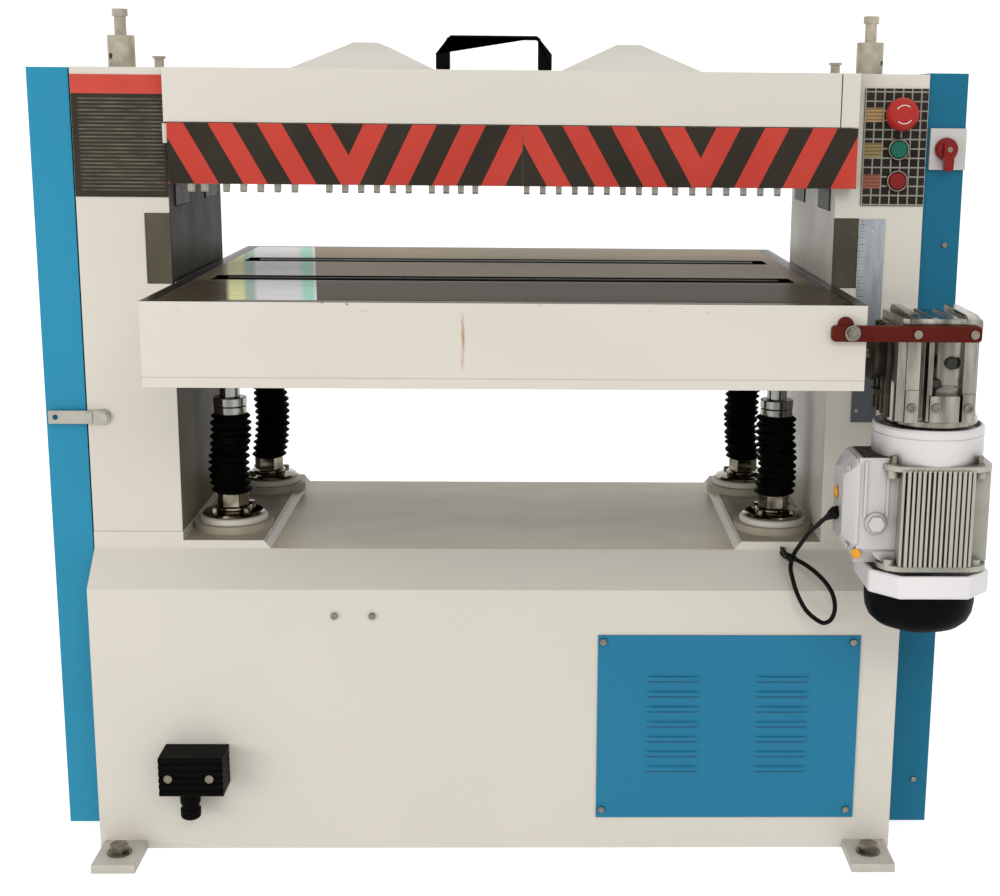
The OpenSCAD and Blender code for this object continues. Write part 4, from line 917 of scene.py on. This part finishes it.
def make_gearbox():
    """A polished cast case with deep flutes, socket screws at its foot, plugs in front and rails on top."""
    bm = bmesh.new()
    front = [(552, -330), (552, -440), (557, -449), (568, -452), (568, -458), (587, -458), (588, -447),
             (592, -441), (597, -443), (600, -451), (606, -455), (611, -449), (616, -446), (640, -446),
             (645, -450), (648, -456), (650, -458), (665, -458), (667, -452), (670, -448), (671, -440),
             (671, -330), (660, -320), (564, -320)]
    prism(bm, front, 742, 874, "Z")
    # Foot blocks with socket screws
    for x0, x1, top, screw in ((568, 587, 788, 577), (603, 645, 780, 612), (649, 666, 783, 658)):
        box(bm, (x0, -460, 742), (x1, -444, top))
        lathe(bm, [(6.6, -0.2), (6.6, 2.8), (6.0, 3.6), (3.4, 3.6), (3.0, 1.0), (0, 1.0)],
              (screw, -460, 763), FORWARD, 28, 1)
    for z in (764, 790):
        box(bm, (622, -449, z), (640, -445, z + 2.2))
    # Side flutes; those on the left side are dark iron as painted shade on that side
    for x, way in ((552, -1), (670, 1)):
        for y in (-425, -398, -371, -344):
            box(bm, (min(x, x + way * 6), y - 5, 744), (max(x, x + way * 6), y + 5, 872),
                slot=3 if way < 0 else 0)
    # Lid with a raised front edge and two rails that run back
    prism(bm, [(-458, 874), (-458, 884), (-452, 888), (-322, 886), (-322, 874)], 560, 672, "X")
    for x0, x1 in ((571, 583), (650, 668)):
        prism(bm, [(-459, 876), (-459, 888), (-446, 893), (-330, 895), (-322, 889), (-322, 876)],
              x0, x1, "X")
    for x in (606, 634):
        prism(bm, [(-455, 884), (-450, 889.5), (-340, 889.5), (-332, 884)], x - 4, x + 4, "X")
    # Round flange over the motor's bell
    lathe(bm, [(40, 730), (64, 730), (66.5, 732), (66.5, 740), (64, 743.5), (40, 744)], (*GEAR, 0), steps=72)
    for a in (215, 262, 305, 350):
        turn = math.radians(a)
        place = (GEAR[0] + 57 * math.cos(turn), GEAR[1] + 57 * math.sin(turn), 743.5)
        lathe(bm, [(6, 0), (6, 5.5), (5.2, 6.4), (2.8, 6.4), (2.6, 3), (0, 3)], place, steps=20, slot=1)
    # Plugs and the dark output neck towards the table
    lathe(bm, [(9.5, -4), (9.5, 1.5), (8.5, 4), (5, 6.2), (0, 7)], (634, -446, 825), FORWARD, 32, 2)
    lathe(bm, [(8, -4), (8, 1.5), (7, 3.5), (4, 5.4), (0, 6)], (612, -449, 796), FORWARD, 32, 2)
    lathe(bm, [(20, 0), (38, 0), (38, 6), (34, 12), (33, 24)], (530, -385, 829), (1, 0, 0), 48, 3)
    for z in (775, 812, 850):
        box(bm, (536, -398, z - 4), (553, -372, z + 4), slot=3)
    link("gearbox_case", bm, [alloy, bright, plug_black, cast_iron], "table", 0.0016, 3, ("gearbox",))


def squared(half, corner, steps=8):
    """A square with round corners, centred on the gearmotor."""
    outline = []
    for k, (sx, sy) in enumerate(((1, 1), (-1, 1), (-1, -1), (1, -1))):
        for i in range(steps + 1):
            a = math.pi / 2 * (k + i / steps)
            outline.append((GEAR[0] + sx * (half - corner) + corner * math.cos(a),
                            GEAR[1] + sy * (half - corner) + corner * math.sin(a)))
    return outline


def make_motor():
    gx, gy = MOTOR
    bm = bmesh.new()
    # Bell, open at the top round the gearbox's flange
    lathe(bm, [(62, 722), (71, 722), (73, 728), (75, 730.5), (78.5, 730), (80.5, 727), (80.5, 718),
               (79.7, 717),
               (80.5, 716), (80.5, 684), (78.5, 677), (60, 676)], (gx, gy, 0), steps=96)
    link("motor_bell", bm, bell_paint, "table", 0, 2, ("gear_motor",))

    bm = bmesh.new()
    prism(bm, squared(60, 26), 530, 676, "Z")
    prism(bm, squared(80, 34), 671, 679, "Z")
    prism(bm, squared(79, 34), 524, 532, "Z")
    draw = random.Random(3)
    for k in range(15):
        x = -50 + 7.15 * k
        reach = 84 if abs(x) < 44 else 81
        half = draw.uniform(1.8, 2.7)
        box(bm, (gx + x - half, gy - reach, 533), (gx + x + half, gy + reach, 674))
        box(bm, (gx, gy + x - half, 533), (gx + reach, gy + x + half, 674))
    for sx, sy in ((1, -1), (-1, -1), (1, 1)):
        x, y = gx + sx * LUG, gy + sy * LUG
        for low, high in ((660, 680), (526, 540)):
            lathe(bm, [(8.5, low), (8.5, high)], (x, y, 0), steps=20)
        hex_bolt(bm, (x, y, 680), UP, 10, 10, 7, 1)
        hex_bolt(bm, (x, y, 520), UP, 9, 5, 0, 1)
    link("motor_body", bm, [fin_alloy, bright], "table", 0.0008, 2, slot=SLOT_OF["gear_motor"])

    # End band, hollow on top, over a black cowl with a rounded bottom
    bm = bmesh.new()
    corner = [(51, 92), (88, 52), (88, -52), (51, -92), (-51, -92), (-88, -52), (-88, 52), (-51, 92)]
    outer = [(gx + x, gy + y) for x, y in corner]
    inner = [(gx + x * 0.9, gy + y * 0.9) for x, y in corner]
    loops = [[bm.verts.new((*p, z)) for p in ring]
             for ring, z in ((inner, 508), (inner, 521), (outer, 521), (outer, 487), (inner, 487))]
    skin(bm, loops)
    link("motor_band", bm, band_paint, "table", 0.006, 4, slot=SLOT_OF["gear_motor"])
    bm = bmesh.new()
    lathe(bm, [(0, 488), (80, 488), (81, 484), (80.5, 464), (78.5, 450), (73, 438), (63, 429), (48, 423.5),
               (26, 421), (0, 420.5)], (gx, gy, 0), steps=72)
    link("motor_cowl", bm, black, "table", 0, 2, slot=SLOT_OF["gear_motor"])


def make_terminal_box():
    """A cast box on the motor's side, with a chamfered lid that faces left."""
    bm = bmesh.new()
    body = [(-440, 552), (-440, 680), (-436, 686), (-356, 686), (-350, 680), (-350, 536), (-356, 528),
            (-424, 528)]
    prism(bm, body, 512, 590, "X")
    middle = (-395, 612)
    lid = [(-442, 560), (-442, 676), (-434, 684), (-356, 684), (-348, 676), (-348, 552), (-356, 540),
           (-424, 540)]
    rings = [
        [bm.verts.new((x, middle[0] + (y - middle[0]) * share, middle[1] + (z - middle[1]) * share))
         for y, z in lid]
        for x, share in ((514, 1.0), (509, 1.0), (494, 0.74), (492, 0.70))
    ]
    skin(bm, rings)
    # Ribs down the front, plug and the lower duct
    for x in (520, 552, 566, 574):
        box(bm, (x, -443, 600), (x + 4, -438, 682))
    lathe(bm, [(16, 0), (16, 3), (15, 4.5), (12, 5)], (539, -440, 591), FORWARD, 40)
    lathe(bm, [(13, 4), (13, 9.5), (11.5, 11)], (539, -440, 591), FORWARD, 6)
    prism(bm, [(528, 560), (540, 540), (556, 528), (580, 524), (580, 560)], -437, -396)
    for z in (670, 556):
        lathe(bm, [(4, 0), (4, 3), (3, 3.6), (1.6, 3.6), (1.5, 1.5), (0, 1.5)], (500, -430, z),
              (-0.8, -0.6, 0), 16)
    box(bm, (518, -434, 685), (577, -358, 687), slot=2)
    lathe(bm, [(9, 0), (9, 2), (7, 3.4), (0, 4)], (491.5, -388, 625), (-1, 0, 0), 28, 3)
    lathe(bm, [(8, 0), (8, 2), (6, 3.4), (0, 4)], (514, -437, 545), (-0.6, -0.75, -0.25), 28, 3)
    # Gland where the cable leaves
    start, ahead = Vector(CABLE[0]), (Vector(CABLE[1]) - Vector(CABLE[0])).normalized()
    lathe(bm, [(8.5, -16), (8.5, -9), (10, -9), (10, -4), (7, -3)], start, ahead, 6, 1)
    lathe(bm, [(7.5, -4), (7, 2), (5.4, 8), (4.4, 14), (CABLE_R, 16)], start, ahead, 24, 1)
    link("terminal_box", bm, [box_paint, rubber, cast_iron, orange_plastic], "table", 0.0018, 3,
         slot=SLOT_OF["gear_motor"])


def make_torque_arm():
    """A red flat bar with round corners that ties the gearbox to the table, with its bolts."""
    bm = bmesh.new()
    outline = []
    for k, (cx, cz) in enumerate(((662, 874.5), (464, 874.5), (464, 863.5), (662, 863.5))):
        for step in range(7):
            a = math.pi / 2 * (k + step / 6)
            outline.append((cx + 5.5 * math.cos(a), cz + 5.5 * math.sin(a)))
    prism(bm, outline, -472, -460.2)
    lathe(bm, [(11, 0), (11, 7), (9.5, 9), (5, 9)], (478, -460.4, 881), FORWARD, 32)
    lathe(bm, [(11.5, 0), (11.5, 1.6), (10.5, 2.4)], (487, -472, 870), FORWARD, 32, 1)
    hex_bolt(bm, (487, -474, 870), (0.12, -1, 0.14), 15, 5, 0, 1)
    lathe(bm, [(5, 0), (5, 2.4), (3.4, 3.4), (0, 3.6)], (487.4, -478, 870.4), (0.12, -1, 0.14), 20, 1)
    for x in (578, 657):
        lathe(bm, [(7, 0), (7, 0.8), (6, 3.2), (4.2, 3.4)], (x, -472, 869), FORWARD, 28, 1)
        lathe(bm, [(4.3, 0.2), (4.3, 3.0), (0, 2.8)], (x, -472, 869), FORWARD, 6, 2)
    link("torque_bar", bm, [arm_red, bright, plug_black], "table", 0.0012, 3, ("torque_arm",))


plug_black = surface("plug_black", rgb(36, 32, 30), 0.25, 0.2, shade=0.1, shine=0.4)
make_gearbox()
make_motor()
make_terminal_box()
make_torque_arm()


# ------------------------------------------------------------------ base fittings


def make_vent_panel():
    """A pressed blue panel with rows of hooded louvres and a painted shadow strip under each."""
    bm = bmesh.new()
    box(bm, (150, -263.6, 54), (565, -261, 361))
    for left in (228, 401):
        for row in range(7):
            z = 135 + 25.2 * row
            rings = []
            for k in range(13):
                t = k / 12
                x = left - 3 + 90 * t
                lift = 4.4 * min(1.0, math.sin(math.pi * t) * 3.2)
                rings.append([
                    bm.verts.new((x, -263.4 - lift * math.sin(b), z + 7.5 - 9 * (1 - math.cos(b)) / 2))
                    for b in (math.pi * j / 8 for j in range(9))
                ])
            skin(bm, rings)
            box(bm, (left + 3, -264.0, z - 2.8), (left + 81, -263.5, z - 1.0), slot=1)
    link("vent_cover", bm, [vent_blue, vent_shadow], "frame", 0.0006, 2, ("vent_panel",))


def make_inlet():
    """A ribbed black inlet box with two screws, and the stub that the supply cable enters."""
    bm = bmesh.new()
    box(bm, (-530, -318.5, 118), (-438, -261, 176))
    for k in range(6):
        z = 115 + 10.8 * k
        prism(bm, [(-261, z), (-318.5, z), (-321, z + 2.4), (-321, z + 7.4), (-318.5, z + 9.8),
                   (-261, z + 9.8)], -534, -434, "X")
    for x in (-519, -455):
        lathe(bm, [(7, 0), (7, 1.6), (5.4, 2.6), (4.6, 1.4), (2.2, 1.0), (0, 1.4)],
              (x, -320.6, 145), FORWARD, 28, 1)
    lathe(bm, [(8, 67.4), (12, 67.4), (15.2, 70), (16, 75), (16, 84), (13.8, 86), (13.8, 92), (16, 94),
               (16, 118)], (-492, -291, 0), steps=40)
    link("inlet_box", bm, [black, bright], "frame", 0.0022, 3, ("mains_inlet",))


vent_shadow = surface("vent_shadow", rgb(16, 60, 88), 0.6, shade=0.1)
make_vent_panel()
make_inlet()
